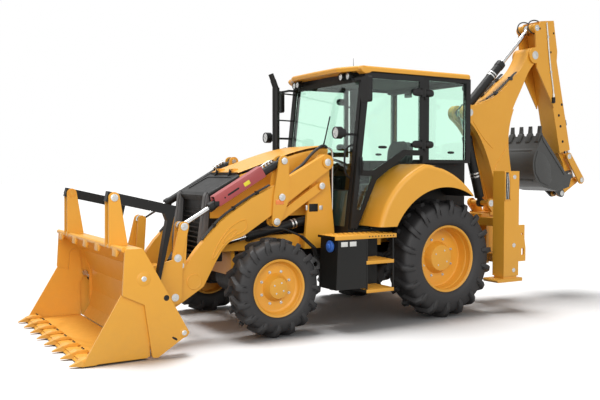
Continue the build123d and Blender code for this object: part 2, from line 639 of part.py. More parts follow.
TILT_BASE = level_end(BELLCRANK_PIN)
LINK_EYE = level_end(BUCKET_HINGE)
ROCKER_PIVOT = (TILT_ROD_PIN[0] - LEVEL_ARM[0], TILT_ROD_PIN[1] - LEVEL_ARM[1])
LEVEL_EYE = (BELLCRANK_PIN[0] + LEVEL_PIVOT[0] - ARM_PIVOT[0], BELLCRANK_PIN[1] + LEVEL_PIVOT[1] - ARM_PIVOT[1])
ARM_IN, ARM_OUT = ARM_Y - ARM_THICKNESS / 2, ARM_Y + ARM_THICKNESS / 2
ROCKER_Y = ((ARM_IN - LINK_GAP - LINK_PLATE, ARM_IN - LINK_GAP),
            (ARM_OUT + LINK_GAP, ARM_OUT + LINK_GAP + LINK_PLATE))
CRANK_Y = ((ARM_IN - 5 - PLATE, ARM_IN - 5), (ARM_OUT + 5, ARM_OUT + 5 + PLATE))
LINK_Y = (ROCKER_Y[1][1] + LINK_GAP, ROCKER_Y[1][1] + LINK_GAP + LINK_PLATE)
EAR_Y = (LINK_Y[1] + LINK_GAP, LINK_Y[1] + LINK_GAP + LINK_PLATE)
INNER_EAR_Y = (ARM_IN - 28, ARM_IN - 8)


ARM_SADDLE = shifted(BELLCRANK_PIN, (0, 24))
ARM_TOP_EDGE = [(2054, 1543), (2334, 1410), (2600, 1245), (2689, 1178), (2760, 1105), (2950, 911), (3157, 645),
                shifted(BUCKET_HINGE, (57, 92))]
ARM_LOW_EDGE = [shifted(BUCKET_HINGE, (-64, -87)), (2884, 531), (2738, 790), (2668, 900), (2590, 972), (2422, 1030),
                (2091, 1234), (1932, 1337)]


def loader_arms():
    arm = capsule(ARM_PIVOT, 85, ARM_SADDLE, 118, ARM_IN, ARM_OUT)
    arm += slab(ARM_TOP_EDGE + ARM_LOW_EDGE, ARM_IN, ARM_OUT) + pin(BUCKET_HINGE, 108, ARM_IN, ARM_OUT)
    arm += capsule(ROCKER_PIVOT, 52, between(CROSS_TUBE, BUCKET_HINGE, 0.3), 90, ARM_IN, ARM_OUT)
    arm += pin(LIFT_EYE, LIFT_BOSS_RADIUS, LIFT_Y + 31, ARM_IN)
    arm += pin(CROSS_TUBE, CROSS_TUBE_RADIUS, 0, ARM_IN)
    arm += pin(CROSS_TUBE, CROSS_TUBE_RADIUS + 8, ARM_OUT, ARM_OUT + 4)
    for centre, radius in ((ARM_PIVOT, 35), (BELLCRANK_PIN, 30), (BUCKET_HINGE, 30), (ROCKER_PIVOT, PIN_RADIUS)):
        arm -= pin(centre, radius + PIN_GAP, ARM_IN - 1, ARM_OUT + 1)
    keep("loader_arms", pair(arm))


def bellcranks():
    crank = None
    for low, high in CRANK_Y:
        plate = capsule(BELLCRANK_PIN, 95, TILT_BASE, 58, low, high)
        plate += capsule(BELLCRANK_PIN, 95, LEVEL_EYE, 52, low, high)
        plate -= pin(TILT_BASE, PIN_RADIUS + PIN_GAP, low - 1, high + 1)
        crank = plate if crank is None else crank + plate
    crank += pin(BELLCRANK_PIN, 30, CRANK_Y[0][0], CRANK_Y[1][1] + 10)
    crank += pin(LEVEL_EYE, 32, CRANK_Y[0][1], ARM_Y - 24) + pin(LEVEL_EYE, 32, ARM_Y + 24, CRANK_Y[1][1] + 10)
    keep("bellcranks", pair(crank))
    link = capsule(LEVEL_PIVOT, 46, LEVEL_EYE, 44, ARM_Y - 20, ARM_Y + 20)
    link -= pin(LEVEL_PIVOT, PIN_RADIUS + PIN_GAP, ARM_Y - 21, ARM_Y + 21)
    keep("level_links", pair(link))


def cylinder(base, tip, y, barrel_radius, rod_radius, barrel_share, eye_radius, base_pin, eye_width, draw_in,
             fork=None):
    """Barrel with an eye or a fork at its base, and the rod that runs out of it to an eye at its tip."""
    length = math.dist(base, tip)
    start = toward(base, tip, eye_radius + (25 if fork is None else 40))
    barrel = bar(start, between(base, tip, barrel_share), barrel_radius, y)
    if fork is None:
        barrel += bar(base, start, rod_radius * 1.2, y)
        barrel += pin(base, eye_radius, y - eye_width / 2, y + eye_width / 2)
    else:
        for low, high in ((y - fork[1], y - fork[0]), (y + fork[0], y + fork[1])):
            barrel += capsule(base, eye_radius, toward(base, tip, eye_radius + 60), eye_radius - 8, low, high)
    barrel -= pin(base, base_pin + PIN_GAP, y - 100, y + 100)
    inner = toward(base, tip, eye_radius + 60)
    barrel -= bar(inner, tip, rod_radius + PIN_GAP / 2, y)
    rod = bar(toward(inner, tip, draw_in + 2), toward(base, tip, length - eye_radius * 0.8), rod_radius, y)
    rod += pin(tip, eye_radius, y - eye_width / 2, y + eye_width / 2)
    return barrel, rod


def loader_cylinders():
    barrel, rod = cylinder(LIFT_BASE, LIFT_EYE, LIFT_Y, LIFT_BARREL_RADIUS, LIFT_ROD_RADIUS, 0.72, 52,
                           PIN_RADIUS, 50, 30)
    keep("lift_barrels", pair(barrel))
    keep("lift_rods", pair(rod))
    barrel, rod = cylinder(TILT_BASE, TILT_ROD_PIN, ARM_Y, TILT_BARREL_RADIUS, TILT_ROD_RADIUS, 0.74, 46,
                           PIN_RADIUS, EYE_WIDTH, 210)
    low, high = between(TILT_BASE, TILT_ROD_PIN, 0.2), between(TILT_BASE, TILT_ROD_PIN, 0.66)
    lean = math.atan2(high[1] - low[1], high[0] - low[0])
    up = (-math.sin(lean), math.cos(lean))
    foot, top = TILT_BARREL_RADIUS, TILT_BARREL_RADIUS + 34
    brace = slab([(low[0] + up[0] * foot, low[1] + up[1] * foot), (high[0] + up[0] * foot, high[1] + up[1] * foot),
                  (high[0] + up[0] * top, high[1] + up[1] * top), (low[0] + up[0] * top, low[1] + up[1] * top)],
                 ARM_Y - 45, ARM_Y + 45)
    keep("tilt_barrels", pair(barrel) + brace)
    keep("tilt_rods", pair(rod))
    keep("tilt_pins", pair(pin(TILT_BASE, PIN_RADIUS, CRANK_Y[0][0] - 6, CRANK_Y[1][1] + 8)))


def tilt_linkage():
    rocker = None
    for low, high in ROCKER_Y:
        plate = capsule(ROCKER_PIVOT, 50, TILT_ROD_PIN, 46, low, high)
        plate -= pin(ROCKER_PIVOT, PIN_RADIUS + PIN_GAP, low - 1, high + 1)
        rocker = plate if rocker is None else rocker + plate
    low, high = ROCKER_Y[1]
    rocker -= pin(TILT_ROD_PIN, PIN_RADIUS + PIN_GAP, low - 1, high + 1)
    tie = between(ROCKER_PIVOT, TILT_ROD_PIN, 0.5)
    rocker += pin(tie, 20, ROCKER_Y[0][1], ROCKER_Y[1][0])
    keep("tilt_rockers", pair(rocker))
    keep("rocker_pins", pair(pin(ROCKER_PIVOT, PIN_RADIUS, ROCKER_Y[0][0] - 4, ROCKER_Y[1][1] + 2)))
    keep("link_pins", pair(pin(TILT_ROD_PIN, PIN_RADIUS, ROCKER_Y[1][0], LINK_Y[1] + 4)))
    link = capsule(TILT_ROD_PIN, 50, LINK_EYE, 50, *LINK_Y)
    link -= pin(TILT_ROD_PIN, PIN_RADIUS + PIN_GAP, LINK_Y[0] - 1, LINK_Y[1] + 1)
    link -= pin(LINK_EYE, PIN_RADIUS + PIN_GAP, LINK_Y[0] - 1, LINK_Y[1] + 1)
    keep("tilt_links", pair(link))
    keep("hinge_pins", pair(pin(BUCKET_HINGE, 30, INNER_EAR_Y[0] - 4, EAR_Y[1] + 2)))


MOULDBOARD = [(3860, 1000), (3640, 800), (3540, 560), (3530, 330), (3570, 150), (3640, 40)]


def loader_bucket():
    side_in = BUCKET_HALF_WIDTH - BUCKET_PLATE
    side = rounded([(3706, 1010), (3870, 1010), (3897, 602), (3695, 504), (3625, 22), (3575, 14), (3264, 206)], 16,
                   side_in, BUCKET_HALF_WIDTH)
    side += pin(JAW_PIVOT, PIN_RADIUS, side_in - SIDE_GAP - BUCKET_PLATE - 4, side_in)
    side += pin(JAW_BASE, 18, JAW_Y - 32, side_in) + pin(JAW_PIVOT, 46, BUCKET_HALF_WIDTH - 1, BUCKET_HALF_WIDTH)
    cheek_out, cheek_in = JAW_Y - 32, JAW_Y - 32 - BUCKET_PLATE
    side += slab([(3706, 1010), (3870, 1010), (3640, 800), (3560, 560), (3560, 200), (3264, 150), (3264, 260)],
                 cheek_in, cheek_out)
    shape = pair(side)
    shape += slab([(3700, 900), (3740, 880), (3880, 985), (3870, 1010), (3706, 1010)],
                  -side_in, side_in)
    back = [(x - 26, z + (12 if z > 600 else -4)) for x, z in reversed(MOULDBOARD)]
    shape += slab(MOULDBOARD + back, -cheek_in, cheek_in)
    for low, high in (EAR_Y, INNER_EAR_Y):
        ear = capsule(BUCKET_HINGE, 70, (3560, 400), 90, low, high)
        if (low, high) == EAR_Y:
            ear += capsule(LINK_EYE, 52, BUCKET_HINGE, 70, low, high)
            ear += slab([LINK_EYE, (3600, 740), (3560, 400), BUCKET_HINGE], low, high)
        ear -= pin(BUCKET_HINGE, 30 + PIN_GAP, low - 1, high + 1)
        ear -= slab([(x - 13, z) for x, z in MOULDBOARD] + [(4200, 40), (4200, 1000)], low - 1, high + 1)
        shape += pair(ear)
    shape += pair(pin(LINK_EYE, PIN_RADIUS, LINK_Y[0], EAR_Y[0]))
    for low in (FORK_Y - FORK_WIDTH / 2 - 5 - 18, FORK_Y + FORK_WIDTH / 2 + 5):
        upright = capsule(FORK_PIN, 52, (3810, 1010), 90, low, low + 18)
        upright -= block(3600, 4000, low - 1, low + 19, 800, 990)
        shape += pair(upright)
    shape += pair(pin(FORK_PIN, 22, FORK_Y - FORK_WIDTH / 2 - 30, FORK_Y + FORK_WIDTH / 2 + 30))
    keep("loader_bucket", shape)


def bucket_jaw():
    side_out = BUCKET_HALF_WIDTH - BUCKET_PLATE - SIDE_GAP
    side_in = side_out - BUCKET_PLATE
    side = slab([(3897, 602), (3760, 560), (3650, 400), (3640, 30), (3700, 18), (LIP_X, 18), (LIP_X, 44)],
                side_in, side_out)
    side += capsule(JAW_PIVOT, 58, (3700, 470), 80, side_in, side_out)
    side -= pin(JAW_PIVOT, PIN_RADIUS + PIN_GAP, side_in - 1, side_out + 1)
    side += capsule((3700, 470), 60, JAW_EYE, 36, side_in, side_out)
    jaw = pair(side)
    jaw += slab([(3660, 18), (LIP_X, 18), (LIP_X, 44), (3660, 44)], -side_out, side_out)
    jaw += slab([(LIP_X - 110, 12), (LIP_X + 20, 12), (LIP_X - 20, 50), (LIP_X - 110, 50)], -side_out, side_out)
    spacing = 2 * (side_out - 40) / (TEETH - 1)
    for index in range(TEETH):
        y = -side_out + 40 + index * spacing
        jaw += slab([(LIP_X - 120, 12), (TOOTH_TIP_X, 14), (TOOTH_TIP_X, 20), (LIP_X + 20, 62), (LIP_X - 120, 62)],
                    y - 32, y + 32)
    keep("bucket_jaw", jaw)
    barrel, rod = cylinder(JAW_BASE, JAW_EYE, JAW_Y, JAW_BARREL_RADIUS, JAW_ROD_RADIUS, 0.84, 30, 18, 40, 0)
    keep("jaw_barrels", pair(barrel))
    keep("jaw_rods", pair(rod))


def forks():
    low, high = FORK_Y - FORK_WIDTH / 2, FORK_Y + FORK_WIDTH / 2
    pitch = math.radians(FORK_PITCH)
    back, down = (-math.cos(pitch), -math.sin(pitch)), (math.sin(pitch), -math.cos(pitch))

    def at(along, drop):
        return (FORK_PIN[0] + back[0] * along + down[0] * drop, FORK_PIN[1] + back[1] * along + down[1] * drop)

    half, end = FORK_SHANK_DEPTH / 2, FORK_SHANK
    fork = slab([at(-60, -half), at(end, -half), at(end, FORK_TINE), at(end - 20, FORK_TINE),
                 at(end - FORK_THICKNESS, half + 60), at(end - FORK_THICKNESS - 40, half), at(-60, half)], low, high)
    fork += pin(FORK_PIN, 48, low, high)
    fork -= pin(FORK_PIN, 22 + PIN_GAP, low - 1, high + 1)
    keep("forks", pair(fork))


# Rear frame, legs and backhoe

RAIL_X = (-1030, -950)


def rear_frame():
    inner, outer = LEG_Y - 95, LEG_Y + 90
    front, back = LEG_X + 125, LEG_X - 120
    sleeve = block(back, front, inner, outer, 430, 1690)
    sleeve -= block(back + 14, front - 14, inner + 14, outer - 14, 400, 1700)
    tie = slab([(back, 1040), (back - 100, 1040), (back - 100, 870), (back - 120, 760), (back - 120, 600),
                (back, 600)], outer - 24, outer)
    tie -= pin((back - 60, 930), 16, outer - 30, outer + 10)
    tie -= capsule((back - 70, 690), 22, (back - 70, 740), 22, outer - 30, outer + 10)
    frame = pair(sleeve + tie)
    for z in (560, 1010):
        frame += block(RAIL_X[0], RAIL_X[1], -inner, inner, z, z + 100)
    frame += pair(slab([(REAR_JOINT_X, 760), (RAIL_X[1], 560), (RAIL_X[1], 1110), (REAR_JOINT_X, RAIL_TOP)],
                       380, 420))
    frame += block(REAR_JOINT_X - 60, REAR_JOINT_X, -420, 420, 760, RAIL_TOP)
    frame += pair(block(-960, -905, 420, inner, 1010, 1110))
    keep("rear_frame", frame)
    leg_x, leg_y = (front - back) / 2 - 14 - PIN_GAP, (outer - inner) / 2 - 14 - PIN_GAP
    middle_x, middle_y = (front + back) / 2, (outer + inner) / 2
    shank = block(middle_x - leg_x, middle_x + leg_x, middle_y - leg_y, middle_y + leg_y, 400, 1640)
    foot = slab([(LEG_X - 190, 360), (LEG_X + 210, 360), (LEG_X + 230, 385), (LEG_X + 210, 402),
                 (LEG_X - 190, 402)], LEG_Y - 150, LEG_Y + 90)
    keep("leg_left", shank + foot)
    keep("leg_right", flipped(shank + foot))


def carriage():
    low, high = SHIFT_Y - 300, SHIFT_Y + 300
    back = RAIL_X[0] - PIN_GAP
    shape = block(back - 45, back, low, high, 540, 1130)
    for z_low, z_high in ((1110 + PIN_GAP, 1150), (520, 560 - PIN_GAP)):
        shape += block(back - 45, RAIL_X[1] + 8, low, high, z_low, z_high)
    for z in (560, 1040):
        lug = block(SWING_X, back - 20, SHIFT_Y - 100, SHIFT_Y + 100, z, z + 80)
        lug += post(SWING_X, SHIFT_Y, 104, z, z + 80)
        shape += lug - post(SWING_X, SHIFT_Y, 60 + PIN_GAP, z - 1, z + 81)
    keep("carriage", shape)


def kingpost():
    y = SHIFT_Y
    shape = post(SWING_X, y, 60, 545, 1135) + post(SWING_X, y, 140, 641, 1039)
    shape += block(-1560, SWING_X, y - 110, y + 110, 700, 1000)
    shape += post(SWING_X, y, 96, 1121, 1150)
    side_in, side_out = BOOM_HALF_WIDTH + SIDE_GAP, BOOM_HALF_WIDTH + SIDE_GAP + 34
    for low, high in ((y - side_out, y - side_in), (y + side_in, y + side_out)):
        cheek = capsule(BOOM_FOOT, 100, (-1500, 850), 130, low, high)
        cheek -= block(SWING_X - 122, SWING_X + 200, low - 1, high + 1, 1028, 1128)
        shape += cheek
        bracket = capsule(BOOM_BASE, 60, (-1330, 1160), 70, low, high)
        shape += bracket - block(-1700, -1000, low - 1, high + 1, 900, 1121)
        shape += block(-1480, -1200, low, high, 1121, 1160)
    shape += block(-1436, -1200, y - side_out, y + side_out, 1121, 1150)
    shape += block(-1600, -1400, y - side_out, y + side_out, 720, 860)
    shape += pin(BOOM_FOOT, 40, y - side_out, y + side_out) + pin(BOOM_BASE, 34, y - side_out, y + side_out)
    keep("kingpost", shape)


CYLINDER_SLOT = 70
BOOM_FOOT_RADIUS = 95
BOOM_NOSE_RADIUS = 100
BOOM_TIP_RADIUS = 105
BOOM_TOP_EDGE = [(-1130, 2575), (-1340, 2680), (-1570, 2868), (-1745, 2995), (-1890, 3185)]
BOOM_REAR_EDGE = [(-1950, 3030), (-1821, 2808), (-1640, 2484), (-1556, 2151), (-1606, 1695)]
BOOM_FRONT_EDGE = [(-1290, 1602), (-1125, 1990), (-985, 2200)]


def around(centre, radius, degrees):
    angle = math.radians(degrees)
    return (centre[0] + radius * math.cos(angle), centre[1] + radius * math.sin(angle))


def boom_edges():
    """Side view of the boom: curved edges between the rounds at its foot, nose and tip."""
    tip = [around(STICK_PIN, BOOM_TIP_RADIUS, a) for a in (20, 130, 215)]
    foot = [around(BOOM_FOOT, BOOM_FOOT_RADIUS, a) for a in (180, 270, 0)]
    nose = [around(BOOM_NOSE, BOOM_NOSE_RADIUS, a) for a in (-40, 40, 115)]
    return [Spline(nose[2], *BOOM_TOP_EDGE, tip[0]), ThreePointArc(*tip),
            Spline(tip[2], *BOOM_REAR_EDGE, foot[0]), ThreePointArc(*foot),
            Spline(foot[2], *BOOM_FRONT_EDGE, nose[0]), ThreePointArc(*nose)]


def boom():
    low, high = SHIFT_Y - BOOM_HALF_WIDTH, SHIFT_Y + BOOM_HALF_WIDTH
    shape = outline(boom_edges(), low, high)
    beyond = slab([(-1560, 2500), (-1500, 3500), (-2300, 3500), (-2300, 2500)], low - 1, high + 1)
    beyond -= slab([(-1560, 2500), (-1500, 3500), (-2300, 3500), (-2300, 2500)], SHIFT_Y - BOOM_TIP_HALF_WIDTH,
                   SHIFT_Y + BOOM_TIP_HALF_WIDTH)
    shape -= beyond
    shape -= pin(BOOM_FOOT, 40 + PIN_GAP, low - 1, high + 1)
    shape -= pin(STICK_PIN, 38 + PIN_GAP, low - 1, high + 1)
    slot_low, slot_high = SHIFT_Y - CYLINDER_SLOT, SHIFT_Y + CYLINDER_SLOT
    shape -= capsule(BOOM_NOSE, 110, BOOM_BASE, 130, slot_low, slot_high)
    shape -= capsule(BOOM_NOSE, 110, turned(BOOM_BASE, BOOM_FOOT, -BOOM_RANGE), 85, slot_low, slot_high)
    shape -= capsule(BOOM_NOSE, 110, (-1560, 3300), 220, slot_low, slot_high)
    shape += pin(BOOM_NOSE, 34, low, SHIFT_Y - 32) + pin(BOOM_NOSE, 34, SHIFT_Y + 32, high)
    for y in (low, high):
        side = 8 if y > SHIFT_Y else -8
        y_low, y_high = min(y, y + side), max(y, y + side)
        shape += pin(BOOM_NOSE, 72, y_low, y_high) - pin(BOOM_NOSE, 33, y_low - 1, y_high + 1)
    keep("boom", shape)


STICK_DOWN = (-0.2342, -0.9722)
STICK_OUT = (-0.9722, 0.2342)
STICK_TOP = (-2252, 3700)


def on_stick(along, out):
    """A point measured down the stick from its top and outwards from its middle line."""
    return (STICK_TOP[0] + STICK_DOWN[0] * along + STICK_OUT[0] * out,
            STICK_TOP[1] + STICK_DOWN[1] * along + STICK_OUT[1] * out)


def stick():
    half = STICK_HALF_WIDTH
    plate_in, plate_out = half + SIDE_GAP, half + SIDE_GAP + PLATE
    core = slab([on_stick(0, -85), on_stick(0, 75), on_stick(1700, 75), on_stick(1700, -85)],
                SHIFT_Y - half + STICK_WALL + PIN_GAP, SHIFT_Y + half - STICK_WALL - PIN_GAP)
    for low, high in ((SHIFT_Y - plate_out, SHIFT_Y - plate_in), (SHIFT_Y + plate_in, SHIFT_Y + plate_out)):
        core += slab([on_stick(-30, -120), on_stick(0, 130), on_stick(420, 110), on_stick(1150, -120),
                      on_stick(560, -330), on_stick(100, -250)], low, high) + pin(STICK_PIN, 105, low, high)
    core += slab([on_stick(-30, -120), on_stick(0, 130), on_stick(60, 130), on_stick(60, -120)],
                 SHIFT_Y - plate_out, SHIFT_Y + plate_out)
    core += pin(STICK_PIN, 38, SHIFT_Y - plate_out, SHIFT_Y + plate_out)
    core += pin(STICK_EYE, 60, SHIFT_Y - plate_out, SHIFT_Y - 50)
    core += pin(STICK_EYE, 60, SHIFT_Y + 50, SHIFT_Y + plate_out)
    keep("stick_inner", core)
    box = slab([on_stick(130, -110), on_stick(130, 100), on_stick(1790, 100), on_stick(1790, -110)],
               SHIFT_Y - half, SHIFT_Y + half)
    box -= slab([on_stick(120, -92), on_stick(120, 82), on_stick(1760, 82), on_stick(1760, -92)],
                SHIFT_Y - half + STICK_WALL, SHIFT_Y + half - STICK_WALL)
    nose_half = 70
    box += capsule(ROCKER_PIN, 60, DIG_HINGE, 62, SHIFT_Y - nose_half, SHIFT_Y + nose_half)
    box += slab([on_stick(1780, -80), on_stick(1780, 100), ROCKER_PIN, DIG_HINGE],
                SHIFT_Y - nose_half, SHIFT_Y + nose_half)
    box -= pin(DIG_HINGE, 30 + PIN_GAP, SHIFT_Y - 200, SHIFT_Y + 200)
    box -= pin(ROCKER_PIN, 30 + PIN_GAP, SHIFT_Y - 200, SHIFT_Y + 200)
    for low, high in ((SHIFT_Y - 62, SHIFT_Y - 32), (SHIFT_Y + 32, SHIFT_Y + 62)):
        ear = capsule(BUCKET_CYLINDER_BASE, 52, on_stick(330, 110), 60, low, high)
        ear -= slab([on_stick(100, -90), on_stick(100, 90), on_stick(600, 90), on_stick(600, -90)],
                    low - 1, high + 1)
        box += ear
    box += pin(BUCKET_CYLINDER_BASE, 26, SHIFT_Y - 70, SHIFT_Y + 70)
    keep("stick_outer", box)


def backhoe_cylinders():
    for name, base, tip, radius, rod_radius, share, base_pin, draw_in in (
            ("boom", BOOM_BASE, BOOM_NOSE, 60, 30, 0.74, 34, 0),
            ("stick", BOOM_NOSE, STICK_EYE, 58, 32, 0.58, 34, 615),
            ("bucket", BUCKET_CYLINDER_BASE, ROCKER_EYE, 44, 26, 0.58, 26, 640)):
        width = 56 if name == "bucket" else 54
        fork = (32, 58) if name == "stick" else None
        barrel, rod = cylinder(base, tip, SHIFT_Y, radius, rod_radius, share, 54, base_pin, width, draw_in, fork)
        keep(name + "_barrel", barrel)
        keep(name + "_rod", rod)


def dig_bucket():
    low, high = SHIFT_Y - DIG_HALF_WIDTH, SHIFT_Y + DIG_HALF_WIDTH
    shell = [Line((-2030, 2165), (-1930, 1990)), ThreePointArc((-1930, 1990), (-1860, 1700), (-2060, 1470)),
             Line((-2060, 1470), (-2330, 1415)), Line((-2330, 1415), (-2560, 1470)),
             Line((-2560, 1470), (-2620, 1640)), Line((-2620, 1640), (-2500, 1650)), Line((-2500, 1650), (-2030, 2165))]
    hollow = [Line((-2060, 2250), (-1965, 1990)), ThreePointArc((-1965, 1990), (-1890, 1710), (-2075, 1500)),
              Line((-2075, 1500), (-2330, 1445)), Line((-2330, 1445), (-2530, 1495)),
              Line((-2530, 1495), (-2580, 1700)), Line((-2580, 1700), (-2060, 2250))]
    shape = outline(shell, low, high) - outline(hollow, low + 20, high - 20)
    for centre in (-84, 84):
        ear_low, ear_high = SHIFT_Y + centre - 11, SHIFT_Y + centre + 11
        ear = capsule(DIG_HINGE, 62, (-2560, 1560), 80, ear_low, ear_high)
        ear += capsule(LINK_PIN, 55, (-2520, 1500), 70, ear_low, ear_high)
        ear += slab([DIG_HINGE, (-2560, 1560), (-2520, 1500), LINK_PIN], ear_low, ear_high)
        ear -= outline(hollow, low, high)
        shape += ear
    shape += pin(DIG_HINGE, 30, SHIFT_Y - 98, SHIFT_Y + 98)
    shape += pin(LINK_PIN, 26, SHIFT_Y - 98, SHIFT_Y + 98)
    for index in range(4):
        y = low + 60 + index * (DIG_HALF_WIDTH * 2 - 120) / 3
        shape += slab([(-2075, 2120), (-1985, 2085), (-2020, 2200), (-2032, 2290), (-2045, 2290), (-2050, 2200)],
                      y - 28, y + 28)
    keep("backhoe_bucket", shape)


def bucket_linkage():
    inside = (36, 58)
    rocker_in = STICK_HALF_WIDTH + SIDE_GAP
    rocker_out = rocker_in + PLATE
    rocker = None
    for low, high in ((SHIFT_Y - rocker_out, SHIFT_Y - rocker_in), (SHIFT_Y + rocker_in, SHIFT_Y + rocker_out)):
        plate = capsule(ROCKER_PIN, 50, ROCKER_EYE, ROCKER_EYE_RADIUS, low, high)
        rocker = plate if rocker is None else rocker + plate
    rocker += pin(ROCKER_PIN, 30, SHIFT_Y - rocker_out, SHIFT_Y + rocker_out)
    rocker += pin(ROCKER_EYE, 26, SHIFT_Y - rocker_out - 6, SHIFT_Y - 63)
    rocker += pin(ROCKER_EYE, 26, SHIFT_Y + 63, SHIFT_Y + rocker_out + 6)
    keep("bucket_rocker", rocker)
    link = None
    for low, high in ((SHIFT_Y - inside[1], SHIFT_Y - inside[0]), (SHIFT_Y + inside[0], SHIFT_Y + inside[1])):
        plate = capsule(LINK_PIN, 48, ROCKER_EYE, 46, low, high) - pin(LINK_PIN, 26 + PIN_GAP, low - 1, high + 1)
        link = plate if link is None else link + plate
    link += pin(between(LINK_PIN, ROCKER_EYE, 0.45), 22, SHIFT_Y - inside[0], SHIFT_Y + inside[0])
    keep("bucket_link", link)


def main():
    for make in (wheels, axles, knuckles, main_frame, power_unit, hood, nose, cab_frame, cab_glass,
                 cab_interior, fenders, doors, side_tanks, lamps_and_mirrors, loader_arms, bellcranks,
                 loader_cylinders, tilt_linkage, loader_bucket, bucket_jaw, forks, rear_frame, carriage, kingpost,
                 boom, stick, backhoe_cylinders, dig_bucket, bucket_linkage):
        make()
    os.makedirs("parts", exist_ok=True)
    for name, shape in NODES.items():
        export_step(shape, "parts/" + name + ".step")


if __name__ == "__main__":
    main()
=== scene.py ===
"""Looks of the backhoe loader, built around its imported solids."""
import json
import math

import bmesh
import bpy
from mathutils import Matrix, Vector

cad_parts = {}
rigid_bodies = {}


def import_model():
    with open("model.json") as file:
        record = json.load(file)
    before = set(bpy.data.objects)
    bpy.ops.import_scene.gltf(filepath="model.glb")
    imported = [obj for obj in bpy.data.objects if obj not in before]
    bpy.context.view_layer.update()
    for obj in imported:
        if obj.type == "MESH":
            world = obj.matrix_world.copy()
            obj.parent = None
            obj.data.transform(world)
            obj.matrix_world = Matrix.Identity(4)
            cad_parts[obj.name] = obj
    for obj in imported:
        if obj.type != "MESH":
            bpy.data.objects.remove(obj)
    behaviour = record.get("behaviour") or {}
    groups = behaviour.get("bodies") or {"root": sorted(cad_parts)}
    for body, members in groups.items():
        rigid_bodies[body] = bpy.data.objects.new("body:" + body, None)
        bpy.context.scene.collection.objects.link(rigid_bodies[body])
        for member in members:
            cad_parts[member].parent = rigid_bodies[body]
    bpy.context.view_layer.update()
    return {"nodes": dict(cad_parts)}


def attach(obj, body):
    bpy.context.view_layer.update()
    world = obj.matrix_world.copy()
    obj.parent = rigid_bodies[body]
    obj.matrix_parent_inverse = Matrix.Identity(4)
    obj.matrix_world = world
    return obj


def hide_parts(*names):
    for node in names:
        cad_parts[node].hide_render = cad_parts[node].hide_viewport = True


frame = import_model()

# The drawing's zero is the rear axle; the part's zero is under its middle.
AXLE_TO_MIDDLE = 652
# The backhoe stands this far to the left of the middle.
SHIFT = 300
# Points closer than this, in metres, are one point.
SAME_POINT = 0.00002


def spot(x, y, z):
    """A point in millimetres from the rear axle, as metres in the part's frame."""
    return Vector(((x - AXLE_TO_MIDDLE) / 1000, y / 1000, z / 1000))


# Materials

def colour(code):
    """An sRGB hex colour as linear values."""
    parts = [int(code[i:i + 2], 16) / 255 for i in (1, 3, 5)]
    linear = [c / 12.92 if c <= 0.04045 else ((c + 0.055) / 1.055) ** 2.4 for c in parts]
    return (*linear, 1.0)


def per_metre(size_mm):
    """Scale of a pattern whose cells have a real size."""
    return 1000 / size_mm


def add(tree, kind, links=None, **settings):
    """A shader node with its settings and its links."""
    made = tree.nodes.new(kind)
    for name, value in settings.items():
        setattr(made, name, value)
    for socket, source in (links or {}).items():
        if isinstance(source, bpy.types.NodeSocket):
            tree.links.new(source, made.inputs[socket])
        else:
            made.inputs[socket].default_value = source
    return made


def blank(name):
    """A new material with only its output node."""
    material = bpy.data.materials.new(name)
    material.use_nodes = True
    tree = material.node_tree
    tree.nodes.clear()
    output = add(tree, "ShaderNodeOutputMaterial")
    place = add(tree, "ShaderNodeTexCoord").outputs["Object"]
    return material, tree, output, place


def sprayed(name, light, dark, rough, coat, grain_mm=1.6, dust="#8a7a60", dust_share=0.25, shine=0.5):
    """Sprayed enamel on steel plate: faint cloudiness, fine orange peel, dust that settles low down."""
    material, tree, output, place = blank(name)
    cloud = add(tree, "ShaderNodeTexNoise", {"Vector": place, "Scale": per_metre(454.5), "Detail": 5.0,
                                             "Roughness": 0.6})
    tone = add(tree, "ShaderNodeMix", {"Factor": cloud.outputs["Fac"], "A": colour(light),
                                       "B": colour(dark)},
               data_type="RGBA")
    height = add(tree, "ShaderNodeSeparateXYZ", {"Vector": place})
    low = add(tree, "ShaderNodeMapRange", {"Value": height.outputs["Z"], "From Min": 0.9, "From Max": 0.0,
                                           "To Min": 0.0, "To Max": dust_share})
    specks = add(tree, "ShaderNodeTexNoise", {"Vector": place, "Scale": per_metre(71.43), "Detail": 8.0,
                                              "Roughness": 0.7})
    settled = add(tree, "ShaderNodeMath", {0: low.outputs["Result"], 1: specks.outputs["Fac"]},
                  operation="MULTIPLY")
    dusty = add(tree, "ShaderNodeMix", {"Factor": settled.outputs[0], "A": tone.outputs["Result"],
                                        "B": colour(dust)},
                data_type="RGBA")
    scuff = add(tree, "ShaderNodeMapRange", {"Value": specks.outputs["Fac"], "From Min": 0.3,
                                             "From Max": 0.7, "To Min": rough - 0.05,
                                             "To Max": rough + 0.08})
    # Orange peel is too fine to show and is drawn four times as coarse.
    peel = add(tree, "ShaderNodeTexNoise", {"Vector": place, "Scale": per_metre(4 * grain_mm),
                                            "Detail": 2.0})
    bump = add(tree, "ShaderNodeBump", {"Height": peel.outputs["Fac"], "Strength": 0.035,
                                        "Distance": 0.002})
    shader = add(tree, "ShaderNodeBsdfPrincipled", {
        "Base Color": dusty.outputs["Result"], "Roughness": scuff.outputs["Result"],
        "Normal": bump.outputs["Normal"], "Coat Weight": coat, "Coat Roughness": 0.15, "IOR": 1.5,
        "Specular IOR Level": shine})
    tree.links.new(shader.outputs["BSDF"], output.inputs["Surface"])
    return material


